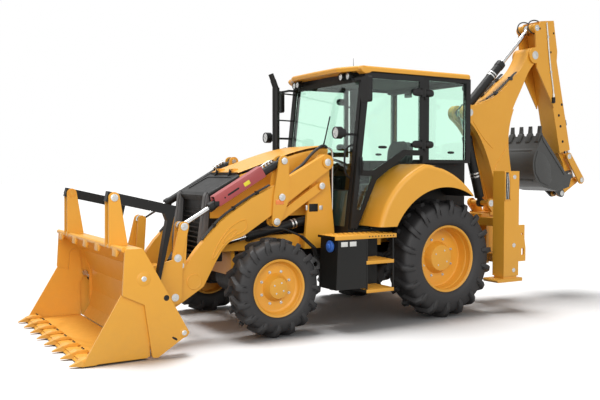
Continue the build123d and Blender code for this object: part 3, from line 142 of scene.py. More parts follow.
def rubber(name, face, groove):
    """Vulcanised tyre rubber: dull black, mould speckle, pale dust in the pores."""
    material, tree, output, place = blank(name)
    # Mould speckle is too fine to show and is drawn about four times as coarse.
    pores = add(tree, "ShaderNodeTexNoise", {"Vector": place, "Scale": per_metre(16.667), "Detail": 8.0,
                                             "Roughness": 0.7})
    patches = add(tree, "ShaderNodeTexNoise", {"Vector": place, "Scale": per_metre(200), "Detail": 4.0})
    blend = add(tree, "ShaderNodeMath", {0: pores.outputs["Fac"], 1: patches.outputs["Fac"]},
                operation="MULTIPLY")
    tone = add(tree, "ShaderNodeMix", {"Factor": blend.outputs[0], "A": colour(face), "B": colour(groove)},
               data_type="RGBA")
    bump = add(tree, "ShaderNodeBump", {"Height": pores.outputs["Fac"], "Strength": 0.12,
                                        "Distance": 0.003})
    shader = add(tree, "ShaderNodeBsdfPrincipled", {
        "Base Color": tone.outputs["Result"], "Roughness": 0.62, "Normal": bump.outputs["Normal"],
        "IOR": 1.52, "Specular IOR Level": 0.45})
    tree.links.new(shader.outputs["BSDF"], output.inputs["Surface"])
    return material


def metal(name, tone, rough, streak, streak_scale):
    """Bare or plated steel: polish lines that vary its gloss."""
    material, tree, output, place = blank(name)
    lines = add(tree, "ShaderNodeMapping", {"Vector": place, "Scale": streak_scale})
    # Polish lines are too fine to show and are drawn as streaks of 25 mm and less.
    noise = add(tree, "ShaderNodeTexNoise", {"Vector": lines.outputs["Vector"], "Scale": per_metre(25),
                                             "Detail": 6.0})
    gloss = add(tree, "ShaderNodeMapRange", {"Value": noise.outputs["Fac"], "From Min": 0.3,
                                             "From Max": 0.7, "To Min": rough - streak,
                                             "To Max": rough + streak})
    tint = add(tree, "ShaderNodeMix", {"Factor": noise.outputs["Fac"], "A": colour(tone),
                                       "B": colour("#9a9a98")},
               data_type="RGBA")
    shader = add(tree, "ShaderNodeBsdfPrincipled", {
        "Base Color": tint.outputs["Result"], "Metallic": 1.0, "Roughness": gloss.outputs["Result"]})
    tree.links.new(shader.outputs["BSDF"], output.inputs["Surface"])
    return material


def moulded(name, light, dark, rough, grain_mm=2.5, depth=0.10):
    """Moulded plastic with a fine spark-eroded grain."""
    material, tree, output, place = blank(name)
    # The grain is drawn coarser than the real one, so that it shows.
    grain = add(tree, "ShaderNodeTexVoronoi", {"Vector": place, "Scale": per_metre(grain_mm)})
    cloud = add(tree, "ShaderNodeTexNoise", {"Vector": place, "Scale": per_metre(166.667), "Detail": 4.0})
    tone = add(tree, "ShaderNodeMix", {"Factor": cloud.outputs["Fac"], "A": colour(light),
                                       "B": colour(dark)},
               data_type="RGBA")
    bump = add(tree, "ShaderNodeBump", {"Height": grain.outputs["Distance"], "Strength": depth,
                                        "Distance": 0.001})
    shader = add(tree, "ShaderNodeBsdfPrincipled", {
        "Base Color": tone.outputs["Result"], "Roughness": rough, "Normal": bump.outputs["Normal"],
        "IOR": 1.49, "Specular IOR Level": 0.3})
    tree.links.new(shader.outputs["BSDF"], output.inputs["Surface"])
    return material


def tinted(name, tone, see_through):
    """Float glass with a green tint: clear towards the light, with a mirror-like surface."""
    material, tree, output, place = blank(name)
    smear = add(tree, "ShaderNodeTexNoise", {"Vector": place, "Scale": per_metre(333.333), "Detail": 6.0})
    gloss = add(tree, "ShaderNodeMapRange", {"Value": smear.outputs["Fac"], "To Min": 0.01, "To Max": 0.05})
    shader = add(tree, "ShaderNodeBsdfPrincipled", {
        "Base Color": colour(tone), "Roughness": gloss.outputs["Result"], "IOR": 1.45, "Alpha": 1.0,
        "Transmission Weight": see_through})
    tree.links.new(shader.outputs["BSDF"], output.inputs["Surface"])
    return material


def woven(name, light, dark, thread_mm=3.0):
    """Seat cloth: crossed threads that catch the light, with a soft sheen."""
    material, tree, output, place = blank(name)
    # At a scale of one a wave is 314 mm long, so each wave holds about two threads.
    warp = add(tree, "ShaderNodeTexWave", {"Vector": place, "Scale": 160 / thread_mm, "Distortion": 0.6},
               bands_direction="Y")
    weft = add(tree, "ShaderNodeTexWave", {"Vector": place, "Scale": 160 / thread_mm, "Distortion": 0.6},
               bands_direction="DIAGONAL")
    threads = add(tree, "ShaderNodeMath", {0: warp.outputs["Fac"], 1: weft.outputs["Fac"]},
                  operation="MULTIPLY")
    tone = add(tree, "ShaderNodeMix", {"Factor": threads.outputs[0], "A": colour(dark), "B": colour(light)},
               data_type="RGBA")
    bump = add(tree, "ShaderNodeBump", {"Height": threads.outputs[0], "Strength": 0.3, "Distance": 0.002})
    shader = add(tree, "ShaderNodeBsdfPrincipled", {
        "Base Color": tone.outputs["Result"], "Roughness": 0.9, "Normal": bump.outputs["Normal"],
        "Sheen Weight": 0.4})
    tree.links.new(shader.outputs["BSDF"], output.inputs["Surface"])
    return material


def celled(name, light, dark, cell_mm, metallic, rough):
    """Pressed lens or reflector: small bright cells under a clear skin."""
    material, tree, output, place = blank(name)
    cells = add(tree, "ShaderNodeTexVoronoi", {"Vector": place, "Scale": per_metre(cell_mm)}, feature="F1")
    depth = add(tree, "ShaderNodeMapRange", {"Value": cells.outputs["Distance"], "From Max": 0.7})
    tone = add(tree, "ShaderNodeMix", {"Factor": depth.outputs["Result"], "A": colour(light),
                                       "B": colour(dark)},
               data_type="RGBA")
    bump = add(tree, "ShaderNodeBump", {"Height": cells.outputs["Distance"], "Strength": 0.25,
                                        "Distance": 0.003})
    shader = add(tree, "ShaderNodeBsdfPrincipled", {
        "Base Color": tone.outputs["Result"], "Metallic": metallic, "Roughness": rough,
        "Normal": bump.outputs["Normal"], "Coat Weight": 1.0, "Coat Roughness": 0.05})
    tree.links.new(shader.outputs["BSDF"], output.inputs["Surface"])
    return material


yellow = sprayed("yellow_enamel", "#edac38", "#e4a030", 0.45, 0.12)
black = sprayed("black_enamel", "#171716", "#111110", 0.48, 0.0, dust="#6b6357", dust_share=0.1, shine=0.25)
dug_steel = sprayed("black_bucket_enamel", "#3d3d3b", "#333331", 0.5, 0.05, dust="#7a7064", dust_share=0.1)
red = sprayed("red_enamel", "#ad4a4b", "#a04142", 0.45, 0.15)
blank_label = sprayed("blank_white_label", "#e6e6e2", "#dcdcd8", 0.5, 0.1, grain_mm=4.0)
yellow_label = sprayed("blank_yellow_label", "#f2e23c", "#e6d534", 0.5, 0.1, grain_mm=4.0)
tyre_rubber = rubber("tyre_rubber", "#191819", "#302e2d")
hose_rubber = rubber("hose_rubber", "#232323", "#363534")
chrome = metal("hard_chrome", "#e6e6e6", 0.16, 0.05, (1.0, 1.0, 6.0))
zinc = metal("zinc_plated_steel", "#d8d8d4", 0.36, 0.08, (3.0, 3.0, 3.0))
plastic = moulded("black_moulding", "#151515", "#101010", 0.6)
grey_plastic = moulded("grey_moulding", "#666666", "#5a5a5a", 0.5)
blue_plastic = moulded("blue_moulding", "#3f6fc4", "#3560b0", 0.45)
headlining = moulded("grey_headlining", "#3a3d3c", "#313433", 0.9, grain_mm=5.0, depth=0.3)
seat_cloth = woven("grey_seat_cloth", "#4a4d4c", "#343736")
lamp_lens = celled("pressed_lamp_lens", "#f2f2ee", "#9d9d9a", 16.0, 0.7, 0.2)
orange_reflector = celled("orange_reflector", "#ff8c1a", "#f07c10", 6.0, 0.0, 0.25)
window = tinted("green_float_glass", "#e7fff3", 1.0)
# An opaque dark green finish: the glass's own green tint with the shade of the cab's inside painted into
# it.
glass_with_painted_inside_shade = sprayed("green_glass_with_painted_shade", "#33463f", "#2a3a35", 0.12, 0.8, grain_mm=40.0, dust_share=0.0)
mirror_glass = metal("silvered_mirror", "#e8ecec", 0.06, 0.02, (1.0, 1.0, 1.0))

# Mesh tools; sizes are millimetres

def join(shape, part):
    """Moves a small shape into a larger one."""
    mesh = bpy.data.meshes.new("part")
    part.to_mesh(mesh)
    part.free()
    shape.from_mesh(mesh)
    bpy.data.meshes.remove(mesh)


def turn(shape, profile, centre, axis, sides=28):
    """A turned surface: pairs of distance along the axis and radius, spun once round it."""
    axis = Vector(axis).normalized()
    across = Vector((axis.z, axis.x, axis.y)).cross(axis).normalized()
    part = bmesh.new()
    places = [centre + (axis * along + across * radius) / 1000 for along, radius in profile]
    points = [part.verts.new(place) for place in places]
    edges = [part.edges.new(pair) for pair in zip(points, points[1:])]
    bmesh.ops.spin(part, geom=points + edges, cent=centre, axis=axis, angle=2 * math.pi, steps=sides,
                   use_merge=True)
    bmesh.ops.remove_doubles(part, verts=part.verts, dist=SAME_POINT)
    join(shape, part)


def plate(shape, points, low, high, edge=0.0, rounds=2):
    """A plate drawn in side view between two distances from the middle, with its edges broken."""
    # Its faces are set one by one: an extruded plate would come out of the bevel with other corners.
    near = [shape.verts.new(spot(x, low, z)) for x, z in points]
    far = [shape.verts.new(spot(x, high, z)) for x, z in points]
    faces = [shape.faces.new(near), shape.faces.new(far[::-1])]
    for here in range(len(points)):
        after = (here + 1) % len(points)
        faces.append(shape.faces.new((near[here], near[after], far[after], far[here])))
    if edge:
        edges = list({side for face in faces for side in face.edges})
        bmesh.ops.bevel(shape, geom=edges, offset=edge / 1000, offset_type="OFFSET", segments=rounds,
                        profile=0.5, affect="EDGES", clamp_overlap=True, material=-1)


def block(shape, x, y, z, edge=4.0, rounds=2):
    """A box with broken edges, from its ranges."""
    plate(shape, [(x[0], z[0]), (x[1], z[0]), (x[1], z[1]), (x[0], z[1])], min(y), max(y), edge, rounds)


def route(points, radius):
    """A smooth round curve along a run of points."""
    curve = bpy.data.curves.new("route", "CURVE")
    curve.dimensions = "3D"
    curve.bevel_depth = radius / 1000
    curve.bevel_resolution = 3
    curve.resolution_u = 6
    curve.use_fill_caps = True
    line = curve.splines.new("NURBS")
    line.points.add(len(points) - 1)
    for point, place in zip(line.points, points):
        point.co = (*spot(*place), 1.0)
    line.order_u = 3
    line.use_endpoint_u = True
    return curve


def pipe(shape, points, radius):
    """A bent pipe, rail or weld bead."""
    curve = route(points, radius)
    bent = bpy.data.objects.new("bent", curve)
    mesh = bpy.data.meshes.new_from_object(bent)
    shape.from_mesh(mesh)
    bpy.data.objects.remove(bent)
    bpy.data.meshes.remove(mesh)
    bpy.data.curves.remove(curve)


def pin_cap(shape, x, y, z, side, radius, proud=9.0):
    """The plated end of a pin: a washer, a chamfered face and a grease point."""
    turn(shape, [(-2, radius), (0.45 * proud, radius), (0.62 * proud, radius * 0.9),
                 (0.62 * proud, radius * 0.45), (0.8 * proud, radius * 0.4), (0.8 * proud, radius * 0.2),
                 (proud, radius * 0.15), (proud, 0)],
         spot(x, y, z), (0, side, 0))


def bolt(shape, place, axis, across, height):
    """A hexagon bolt on its washer."""
    turn(shape, [(-1, across), (0.25 * height, across), (0.25 * height, across * 0.5)], place, axis, 20)
    turn(shape, [(0, across * 0.72), (0.9 * height, across * 0.72), (height, across * 0.6), (height, 0)],
         place, axis, 6)


def piece(name, shape, material, body, hidden=(), crease=35):
    """A new piece that moves with a body and may stand for solids."""
    bmesh.ops.recalc_face_normals(shape, faces=shape.faces)
    mesh = bpy.data.meshes.new(name)
    shape.to_mesh(mesh)
    shape.free()
    mesh.shade_smooth()
    mesh.set_sharp_from_angle(angle=math.radians(crease))
    mesh.materials.append(material)
    thing = bpy.data.objects.new(name, mesh)
    bpy.context.scene.collection.objects.link(thing)
    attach(thing, body)
    if hidden:
        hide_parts(*hidden)
    return thing


def hose(name, points, diameter, body):
    """A rubber hose whose two ends go into the machine."""
    thing = bpy.data.objects.new(name, route(points, diameter / 2))
    thing.data.materials.append(hose_rubber)
    bpy.context.scene.collection.objects.link(thing)
    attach(thing, body)


# Camera

def camera():
    """The camera of the main view, before the left front corner."""
    lens = bpy.data.cameras.new("camera")
    lens.lens = 46.19
    lens.sensor_width = 36
    thing = bpy.data.objects.new("camera", lens)
    yaw, pitch = -2.1083, -0.0405
    thing.location = (5.9959 - AXLE_TO_MIDDLE / 1000, 7.763, 1.7173)
    aim = Vector((math.cos(yaw) * math.cos(pitch), math.sin(yaw) * math.cos(pitch), math.sin(pitch)))
    thing.rotation_euler = aim.to_track_quat("-Z", "Y").to_euler()
    bpy.context.scene.collection.objects.link(thing)
    bpy.context.scene.camera = thing


camera()

# Finishes of the solids

FINISH = {
    "black": ("axles", "power_unit", "nose", "side_tanks", "forks", "cab_frame", "door_left", "door_right",
              "lift_barrels", "tilt_barrels", "jaw_barrels", "boom_barrel", "stick_barrel", "bucket_barrel",
              "knuckle_left", "knuckle_right"),
    "chrome": ("lift_rods", "tilt_rods", "jaw_rods", "boom_rod", "stick_rod", "bucket_rod"),
    "zinc": ("hinge_pins", "tilt_pins", "rocker_pins", "link_pins"),
    "glass": ("cab_glass", "door_left_glass", "door_right_glass"),
    "dug": ("backhoe_bucket",),
    "plastic": ("cab_interior", "lamps_and_mirrors"),
}
LOOK = {"black": black, "chrome": chrome, "zinc": zinc, "glass": window, "dug": dug_steel,
        "plastic": plastic}


def finish_solids():
    """Gives every solid its finish; what is not listed is yellow."""
    chosen = {node: LOOK[key] for key, nodes in FINISH.items() for node in nodes}
    for node, thing in frame["nodes"].items():
        material = tyre_rubber if "tyre" in node else chosen.get(node, yellow)
        thing.data.materials.clear()
        thing.data.materials.append(material)


finish_solids()

# Wheels

# Height of the tyre's bars, and how far the first bar's end stands ahead of the point on the ground.
TREAD = 38
BAR_AHEAD = 73.5
WHEELS = {
    "front": {"x": 2200, "y": 858, "radius": 505, "rim": 292, "width": 330, "lugs": 16, "disc": 42,
              "hub": 120, "ring": 172, "hub_ring": 60},
    "rear": {"x": 0, "y": 862, "radius": 680, "rim": 380, "width": 440, "lugs": 18, "disc": -18, "hub": 60,
             "ring": 225, "hub_ring": 95},
}


def carcass_radius(wheel, share):
    """Radius of the tyre under its lugs, at a share of its width from the middle."""
    top = wheel["radius"] - TREAD
    drop = top - wheel["rim"]
    steps = [(0.0, 0.0), (0.24, 0.01), (0.36, 0.05), (0.44, 0.16), (0.475, 0.34), (0.49, 0.56),
             (0.475, 0.75)]
    for (a, low), (b, high) in zip(steps, steps[1:]):
        if a <= share <= b:
            return top - drop * (low + (high - low) * (share - a) / (b - a))
    return top - 0.56 * drop


def lug(wheel, centre, side, out, angle):
    """One tyre bar, from beside the middle line over the shoulder and down the side wall."""
    inner, outer = 0.02, 0.484
    lead, sweep = -47, 91
    narrow, spread, chamfer = 23, 6, 5
    sections = []
    for step in range(9):
        along = step / 8
        share = inner + (outer - inner) * along
        crown = wheel["radius"] - ((14, 62)[step - 7] if step > 6 else 5 * along ** 2)
        foot = carcass_radius(wheel, share) - 6
        wide = narrow + spread * along
        top = wide - chamfer
        sections.append((lead + sweep * along, [
            (foot, share, wide * 1.4), (crown - chamfer, share, wide), (crown, share, top),
            (crown, share, -top), (crown - chamfer, share, -wide), (foot, share, -wide * 1.4)]))
    drop = wheel["radius"] - TREAD - wheel["rim"]
    for rise, low, high, swept in ((0.72, 0.42, 0.494, 54), (0.46, 0.45, 0.474, 62)):
        radius = wheel["rim"] + rise * drop
        sections.append((swept, [
            (radius, low, wide * 1.3), (radius, high - 0.01, wide), (radius, high, top),
            (radius, high, -top), (radius, high - 0.01, -wide), (radius, low, -wide * 1.3)]))
    bar = bmesh.new()
    rows = []
    for swept, corners in sections:
        row = []
        for radius, share, half in corners:
            turned = angle + (swept + half) / wheel["radius"]
            row.append(bar.verts.new(spot(
                centre[0] + radius * math.sin(turned), centre[1] + side * out * share * wheel["width"],
                centre[2] + radius * math.cos(turned))))
        rows.append(row)
    edges = [[bar.edges.new(pair) for pair in zip(row, row[1:])] for row in rows]
    for here, after in zip(edges, edges[1:]):
        bmesh.ops.bridge_loops(bar, edges=here + after)
    bar.faces.new(rows[0])
    bar.faces.new(rows[-1])
    return bar


def tyre(end, hand, side):
    """Tractor tyre with a round carcass, ribbed side walls and bars."""
    wheel = WHEELS[end]
    centre = (wheel["x"], side * wheel["y"], wheel["radius"])
    width, drop = wheel["width"], wheel["radius"] - TREAD - wheel["rim"]
    half = [(0.36, 0.0), (0.40, 0.03), (0.425, 0.10), (0.445, 0.13), (0.447, 0.17), (0.455, 0.19),
            (0.462, 0.28), (0.467, 0.42), (0.460, 0.55), (0.448, 0.66), (0.428, 0.80), (0.405, 0.88),
            (0.35, 0.95), (0.24, 0.99), (0.0, 1.0)]
    ring = [(share * width, wheel["rim"] + rise * drop) for share, rise in half]
    ring += [(-along, radius) for along, radius in ring[-2::-1]]
    shape = bmesh.new()
    turn(shape, ring, spot(*centre), (0, 1, 0), 96)
    step = 2 * math.pi / wheel["lugs"]
    top = math.sqrt(wheel["radius"] ** 2 - BAR_AHEAD ** 2)
    for out in (1, -1):
        start = math.pi - math.atan2(BAR_AHEAD, top) + (step / 2 if out < 0 else 0.0)
        bars = lug(wheel, centre, side, out, start)
        bmesh.ops.spin(bars, geom=bars.verts[:] + bars.edges[:] + bars.faces[:], cent=spot(*centre),
                       axis=(0, 1, 0), angle=2 * math.pi - step, steps=wheel["lugs"] - 1,
                       use_duplicate=True)
        join(shape, bars)
    body = end + "_wheel_" + hand
    piece(body + "_tyre_rubber", shape, tyre_rubber, body, (end + "_tyre_" + hand,), 50)


def rim_trim(end, hand, side):
    """The rolled flange and the step of a disc wheel, and its bolts."""
    wheel = WHEELS[end]
    rim, edge = wheel["rim"], 0.385 * wheel["width"]
    centre = spot(wheel["x"], side * wheel["y"], wheel["radius"])
    axis = (0, side, 0)
    body = end + "_wheel_" + hand
    shape = bmesh.new()
    turn(shape, [(edge - 26, rim - 20), (edge - 12, rim - 22), (edge - 2, rim - 14), (edge + 5, rim - 6),
                 (edge + 6, rim + 3), (edge + 2, rim + 8), (edge - 5, rim + 7), (edge - 8, rim - 2)],
         centre, axis, 72)
    step_y = (wheel["disc"] + edge) * 0.5
    turn(shape, [(step_y + 16, rim - 18), (step_y + 10, rim - 26), (step_y, rim - 30),
                 (step_y - 22, rim - 32), (wheel["disc"] + 6, rim - 44), (wheel["disc"] + 1, rim - 62)],
         centre, axis, 72)
    hub = wheel["hub"]
    turn(shape, [(hub - 6, wheel["hub_ring"] * 1.62), (hub + 2, wheel["hub_ring"] * 1.55),
                 (hub + 4, wheel["hub_ring"] * 1.4), (hub + 4, 0)], centre, axis, 48)
    piece(body + "_rim_flange", shape, yellow, body)
    bolts = bmesh.new()
    for index in range(8):
        angle = math.radians(22.5 + 45 * index)
        off = Vector((math.cos(angle), 0, math.sin(angle))) * wheel["ring"] / 1000
        bolt(bolts, centre + off + Vector((0, side * wheel["disc"] / 1000, 0)), axis, 15, 18)
    for index in range(4):
        angle = math.radians(30 + 90 * index)
        off = Vector((math.cos(angle), 0, math.sin(angle))) * wheel["hub_ring"] / 1000
        bolt(bolts, centre + off + Vector((0, side * (hub + 4) / 1000, 0)), axis, 9, 7)
    piece(body + "_bolts", bolts, zinc, body)


def wheels():
    """Tyres and wheel trim at the four corners."""
    for end in WHEELS:
        for hand, side in (("left", 1), ("right", -1)):
            tyre(end, hand, side)
            rim_trim(end, hand, side)


wheels()

# Loader

def loader_pins():
    """Plated pin ends on the loader's linkage."""
    rows = {
        "chassis": [(1407, 663, 1788, 40, 8), (1470, 647, 1530, 36, 8)],
        "bellcranks": [(1993, 680, 1416, 38, 8), (2056, 680, 1158, 38, 8)],
        "tilt_pins": [(1963, 678, 1801, 36, 8)],
        "rocker_pins": [(3134, 668, 763, 34, 2)],
        "link_pins": [(3104, 691, 1148, 38, 8)],
        "hinge_pins": [(3211, 710, 458, 38, 3)],
        "loader_bucket": [(3181, 708, 843, 38, 4), (3843, 825, 1452, 34, 8), (3699, 1198, 738, 26, 2),
                          (3320, 1198, 214, 24, 2)],
    }
    for body, caps in rows.items():
        shape = bmesh.new()
        for x, y, z, radius, proud in caps:
            for side in (1, -1):
                pin_cap(shape, x, side * y, z, side, radius, proud)
        piece(body + "_pin_caps", shape, zinc, body)


# Weld lines on the arm's side: the fin under the bend and the tear-shaped opening
FIN = [(2400, 1195), (2478, 1184), (2592, 1115), (2683, 1011), (2753, 901), (2790, 812), (2772, 800),
       (2715, 880), (2640, 965), (2560, 1015), (2440, 1065), (2385, 1110), (2400, 1195)]
TEAR = [(2668, 960), (2675, 975), (2610, 1050), (2530, 1100), (2505, 1085), (2540, 1040), (2600, 990),
        (2668, 960)]


def arm_dress():
    """Weld beads on the arm's side, the round cap's ring and the pressure lines on its top edge."""
    beads, pipes, clips = bmesh.new(), bmesh.new(), bmesh.new()
    for side in (1, -1):
        for loop in (FIN, TEAR):
            pipe(beads, [(x, side * 645, z) for x, z in loop], 7)
        turn(beads, [(-2, 80), (3, 79), (5, 74), (3, 69), (2, 66)], spot(2984, side * 647, 589),
             (0, side, 0), 40)
        for y in (578, 602):
            pipe(pipes, [(2100, side * y, 1545), (2334, side * y, 1432), (2590, side * y, 1272),
                         (2690, side * y, 1200), (2765, side * y, 1125), (2880, side * y, 1000)], 9)
        for x, z in ((2250, 1466), (2520, 1312), (2740, 1142)):
            block(clips, (x - 16, x + 16), (side * 566, side * 614), (z - 24, z + 18), 3)
    piece("arm_weld_beads", beads, yellow, "loader_arms", crease=60)
    piece("arm_pressure_lines", pipes, hose_rubber, "loader_arms")
    piece("arm_pipe_clips", clips, black, "loader_arms")


# Pins at the two ends of the tilt cylinder
TILT_FROM, TILT_TO = Vector((1963, 0, 1801)), Vector((3104, 0, 1148))


def on_tilt(along, up):
    """A point measured along the tilt cylinder and square to it, in side view."""
    line = (TILT_TO - TILT_FROM).normalized()
    place = TILT_FROM + line * along + Vector((-line.z, 0, line.x)) * up
    return (place.x, place.z)


def brace():
    """The red arm lock: a folded channel over the left tilt cylinder with a slot and a pin."""
    shape = bmesh.new()
    for low, high in ((650.5, 657), (553, 559.5)):
        plate(shape, [on_tilt(262, 79), on_tilt(880, 79), on_tilt(905, -4), on_tilt(868, -38),
                      on_tilt(262, -38)],
              low, high, 2)
    plate(shape, [on_tilt(262, 77), on_tilt(880, 77), on_tilt(880, 83), on_tilt(262, 83)], 553, 657, 2)
    piece("arm_lock_channel", shape, red, "tilt_barrels")
    slot = bmesh.new()
    plate(slot, [on_tilt(590, 18), on_tilt(600, 27), on_tilt(735, 27), on_tilt(745, 18), on_tilt(735, 8),
                 on_tilt(600, 8)], 655, 658.5, 1)
    turn(slot, [(0, 9), (2, 9), (2, 0)], spot(on_tilt(780, 12)[0], 657, on_tilt(780, 12)[1]), (0, 1, 0), 16)
    block(slot, (on_tilt(886, 6)[0] - 26, on_tilt(886, 6)[0] + 26), (640, 660),
          (on_tilt(886, 6)[1] - 24, on_tilt(886, 6)[1] + 24), 4)
    piece("arm_lock_slot", slot, plastic, "tilt_barrels")
    label = bmesh.new()
    plate(label, [on_tilt(455, -8), on_tilt(530, -8), on_tilt(530, 34), on_tilt(455, 34)], 656, 658, 0.8)
    piece("arm_lock_label", label, yellow_label, "tilt_barrels")


def tilt_fittings():
    """Ports, hard lines and gland nuts on the tilt cylinders."""
    fittings, glands = bmesh.new(), bmesh.new()
    for side in (1, -1):
        for along in (110, 150, 190, 235):
            x, z = on_tilt(along, 44)
            turn(fittings, [(0, 15), (14, 15), (16, 11), (30, 11), (30, 0)], spot(x, side * 605, z),
                 (0.5, 0, 0.87), 12)
        run = [on_tilt(along, up) for along, up in ((110, 62), (180, 74), (255, 62))]
        pipe(fittings, [(x, side * 585, z) for x, z in run], 8)
        end = on_tilt(973, 0)
        line = (TILT_TO - TILT_FROM).normalized()
        turn(glands, [(-60, 43), (-56, 49), (-6, 49), (0, 44), (0, 26)], spot(end[0], side * 605, end[1]),
             line, 28)
    piece("tilt_cylinder_fittings", fittings, zinc, "tilt_barrels")
    piece("tilt_cylinder_glands", glands, black, "tilt_barrels")


def lift_bands():
    """Plated clamps on the lift cylinders and their gland nuts."""
    line = Vector((2650 - 1417, 0, 922 - 1177)).normalized()
    clamps, glands = bmesh.new(), bmesh.new()
    for side in (1, -1):
        start = spot(1417, side * 447, 1177)
        for along in (0.3, 0.34):
            turn(clamps, [(-9, 49), (-9, 55), (9, 55), (9, 49)], start + line * along, line)
        turn(glands, [(-70, 50), (-66, 56), (-4, 56), (2, 50), (2, 30)], start + line * 0.9064, line)
    piece("lift_cylinder_clamps", clamps, zinc, "lift_barrels")
    piece("lift_cylinder_glands", glands, black, "lift_barrels")


def reflectors():
    """Orange reflectors on the bell cranks."""
    shape = bmesh.new()
    for side in (1, -1):
        block(shape, (1968, 2066), (side * 669, side * 675), (1340, 1388), 2)
    piece("crank_reflectors", shape, orange_reflector, "bellcranks")


# Middles of the eight loader teeth
TEETH_Y = [-1110 + index * 2 * 1110 / 7 for index in range(8)]


def pointed_teeth():
    """The jaw with its tooth ends drawn in to points, as forged teeth have."""
    shape = bmesh.new()
    shape.from_mesh(frame["nodes"]["bucket_jaw"].data)
    bmesh.ops.remove_doubles(shape, verts=shape.verts, dist=SAME_POINT)
    for vert in shape.verts:
        if vert.co.x > spot(4336, 0, 0).x:
            middle = min(TEETH_Y, key=lambda y: abs(y / 1000 - vert.co.y)) / 1000
            vert.co.y = middle + (vert.co.y - middle) * 0.3
    piece("bucket_jaw_plates", shape, yellow, "bucket_jaw", ("bucket_jaw",), 12)


def bucket_dress():
    """Tooth boots and bolts, the rolled top edge and the side bosses of the loader bucket."""
    boots, bolts = bmesh.new(), bmesh.new()
    for y in TEETH_Y:
        plate(boots, [(4080, 52), (4120, 84), (4200, 84), (4262, 62), (4250, 50)], y - 44, y + 44, 5)
        for off in (-24, 24):
            bolt(bolts, spot(4140, y + off, 84), (0, 0, 1), 11, 9)
    piece("tooth_boots", boots, yellow, "bucket_jaw")
    piece("tooth_bolts", bolts, black, "bucket_jaw")
    edge = bmesh.new()
    pipe(edge, [(3872, -1176, 1004), (3872, 0, 1004), (3872, 1176, 1004)], 24)
    for y in (-980, -420, 0, 420, 980):
        plate(edge, [(3770, 1008), (3880, 1008), (3900, 1000), (3905, 930), (3880, 925), (3872, 990)],
              y - 60, y + 60, 8)
    piece("bucket_top_edge", edge, yellow, "loader_bucket")
    bosses, heads = bmesh.new(), bmesh.new()
    for side in (1, -1):
        for x, z, radius in ((3699, 738, 66), (3320, 214, 44)):
            turn(bosses, [(-2, radius), (1, radius - 1), (3, radius - 5), (3, 0)], spot(x, side * 1200, z),
                 (0, side, 0), 40)
            turn(heads, [(0, 24), (3, 24), (5, 21), (5, 9), (3, 8), (3, 0)], spot(x, side * 1201, z),
                 (0, side, 0), 24)
    piece("bucket_side_bosses", bosses, yellow, "loader_bucket", crease=60)
    piece("bucket_side_bolts", heads, zinc, "loader_bucket")
    # The side plate's holes are a black disc and a black slot: painted shade inside the holes.
    painted_hole_shade = bmesh.new()
    for side in (1, -1):
        turn(painted_hole_shade, [(-2, 27), (0, 27), (0.4, 24), (0.4, 0)], spot(3489, side * 1200, 550), (0, side, 0),
             28)
        plate(painted_hole_shade, [(3385, 158), (3395, 150), (3430, 170), (3440, 184), (3430, 192), (3395, 174)],
              side * 1198.4 - 2, side * 1198.4 + 2, 0.5)
    piece("bucket_side_hole_shade", painted_hole_shade, plastic, "loader_bucket")


def fork_dress():
    """The fork shaft's free end and the collars beside the forks."""
    shape = bmesh.new()
    turn(shape, [(0, 20), (150, 20), (158, 16), (158, 0)], spot(3843, -825, 1452), (0, -1, 0), 20)
    piece("fork_cross_shaft", shape, black, "loader_bucket")
    collars = bmesh.new()
    for side in (1, -1):
        for y in (686, 806):
            turn(collars, [(0, 40), (16, 40), (18, 36), (18, 22)], spot(3843, side * y, 1452), (0, side, 0),
                 28)
    piece("fork_collars", collars, yellow, "loader_bucket")


loader_pins()
arm_dress()
brace()
tilt_fittings()
lift_bands()
reflectors()
pointed_teeth()
bucket_dress()
fork_dress()

# Hood, nose and towers

def nose_dress():
    """Grey posts beside the grille and the seam strip over the nose."""
    posts = bmesh.new()
    for side in (1, -1):
        ends = sorted((side * 318, side * 394))
        plate(posts, [(2722, 768), (2812, 768), (2812, 952), (2752, 1428), (2728, 1480), (2704, 1452),
                      (2702, 1376)],
              ends[0], ends[1], 16, 3)
    piece("nose_posts", posts, grey_plastic, "chassis")
    strip = bmesh.new()
    pipe(strip, [(2352, -384, 1640), (2352, -300, 1664), (2352, 0, 1668), (2352, 300, 1664),
                 (2352, 384, 1640)], 6)
    piece("nose_seam_strip", strip, plastic, "chassis")


def tower_dress():
    """Steel pipes in front of the cab, and a louvre and blank plates on each tower."""
    pipes = bmesh.new()
    for y, x in ((500, 1248), (528, 1262)):
        for side in (1, -1):
            pipe(pipes, [(x + 60, side * y, 1950), (x + 20, side * y, 1945), (x - 4, side * y, 1900),
                         (x, side * y, 1700), (x, side * y, 1300), (x + 6, side * y, 1240),
                         (x + 50, side * y, 1180)], 10)
    piece("tower_steel_pipes", pipes, zinc, "chassis")
    louvre, plates = bmesh.new(), bmesh.new()
    for side in (1, -1):
        block(louvre, (1468, 1580), (side * 548, side * 556), (1246, 1332), 3)
        for row in range(4):
            z = 1258 + row * 20
            block(louvre, (1472, 1576), (side * 555, side * 560), (z, z + 9), 1.5)
        block(plates, (1600, 1622), (side * 548, side * 552), (1262, 1318), 2)
        block(plates, (1404, 1448), (side * 548, side * 552), (1262, 1310), 2)
    piece("tower_louvres", louvre, plastic, "chassis")
    piece("tower_blank_plates", plates, zinc, "chassis")


def mudguards():
    """Thin flexible guards above the front tyres, held at the tanks."""
    shape = bmesh.new()
    run = [(1604, 770), (1640, 880), (1795, 1008), (2024, 1096), (2276, 1092)]
    for side in (1, -1):
        ends = sorted((side * 700, side * 790))
        under = [(x + 6, z - 8) for x, z in reversed(run)]
        plate(shape, run + under, ends[0], ends[1], 2)
    piece("front_mudguards", shape, plastic, "chassis")


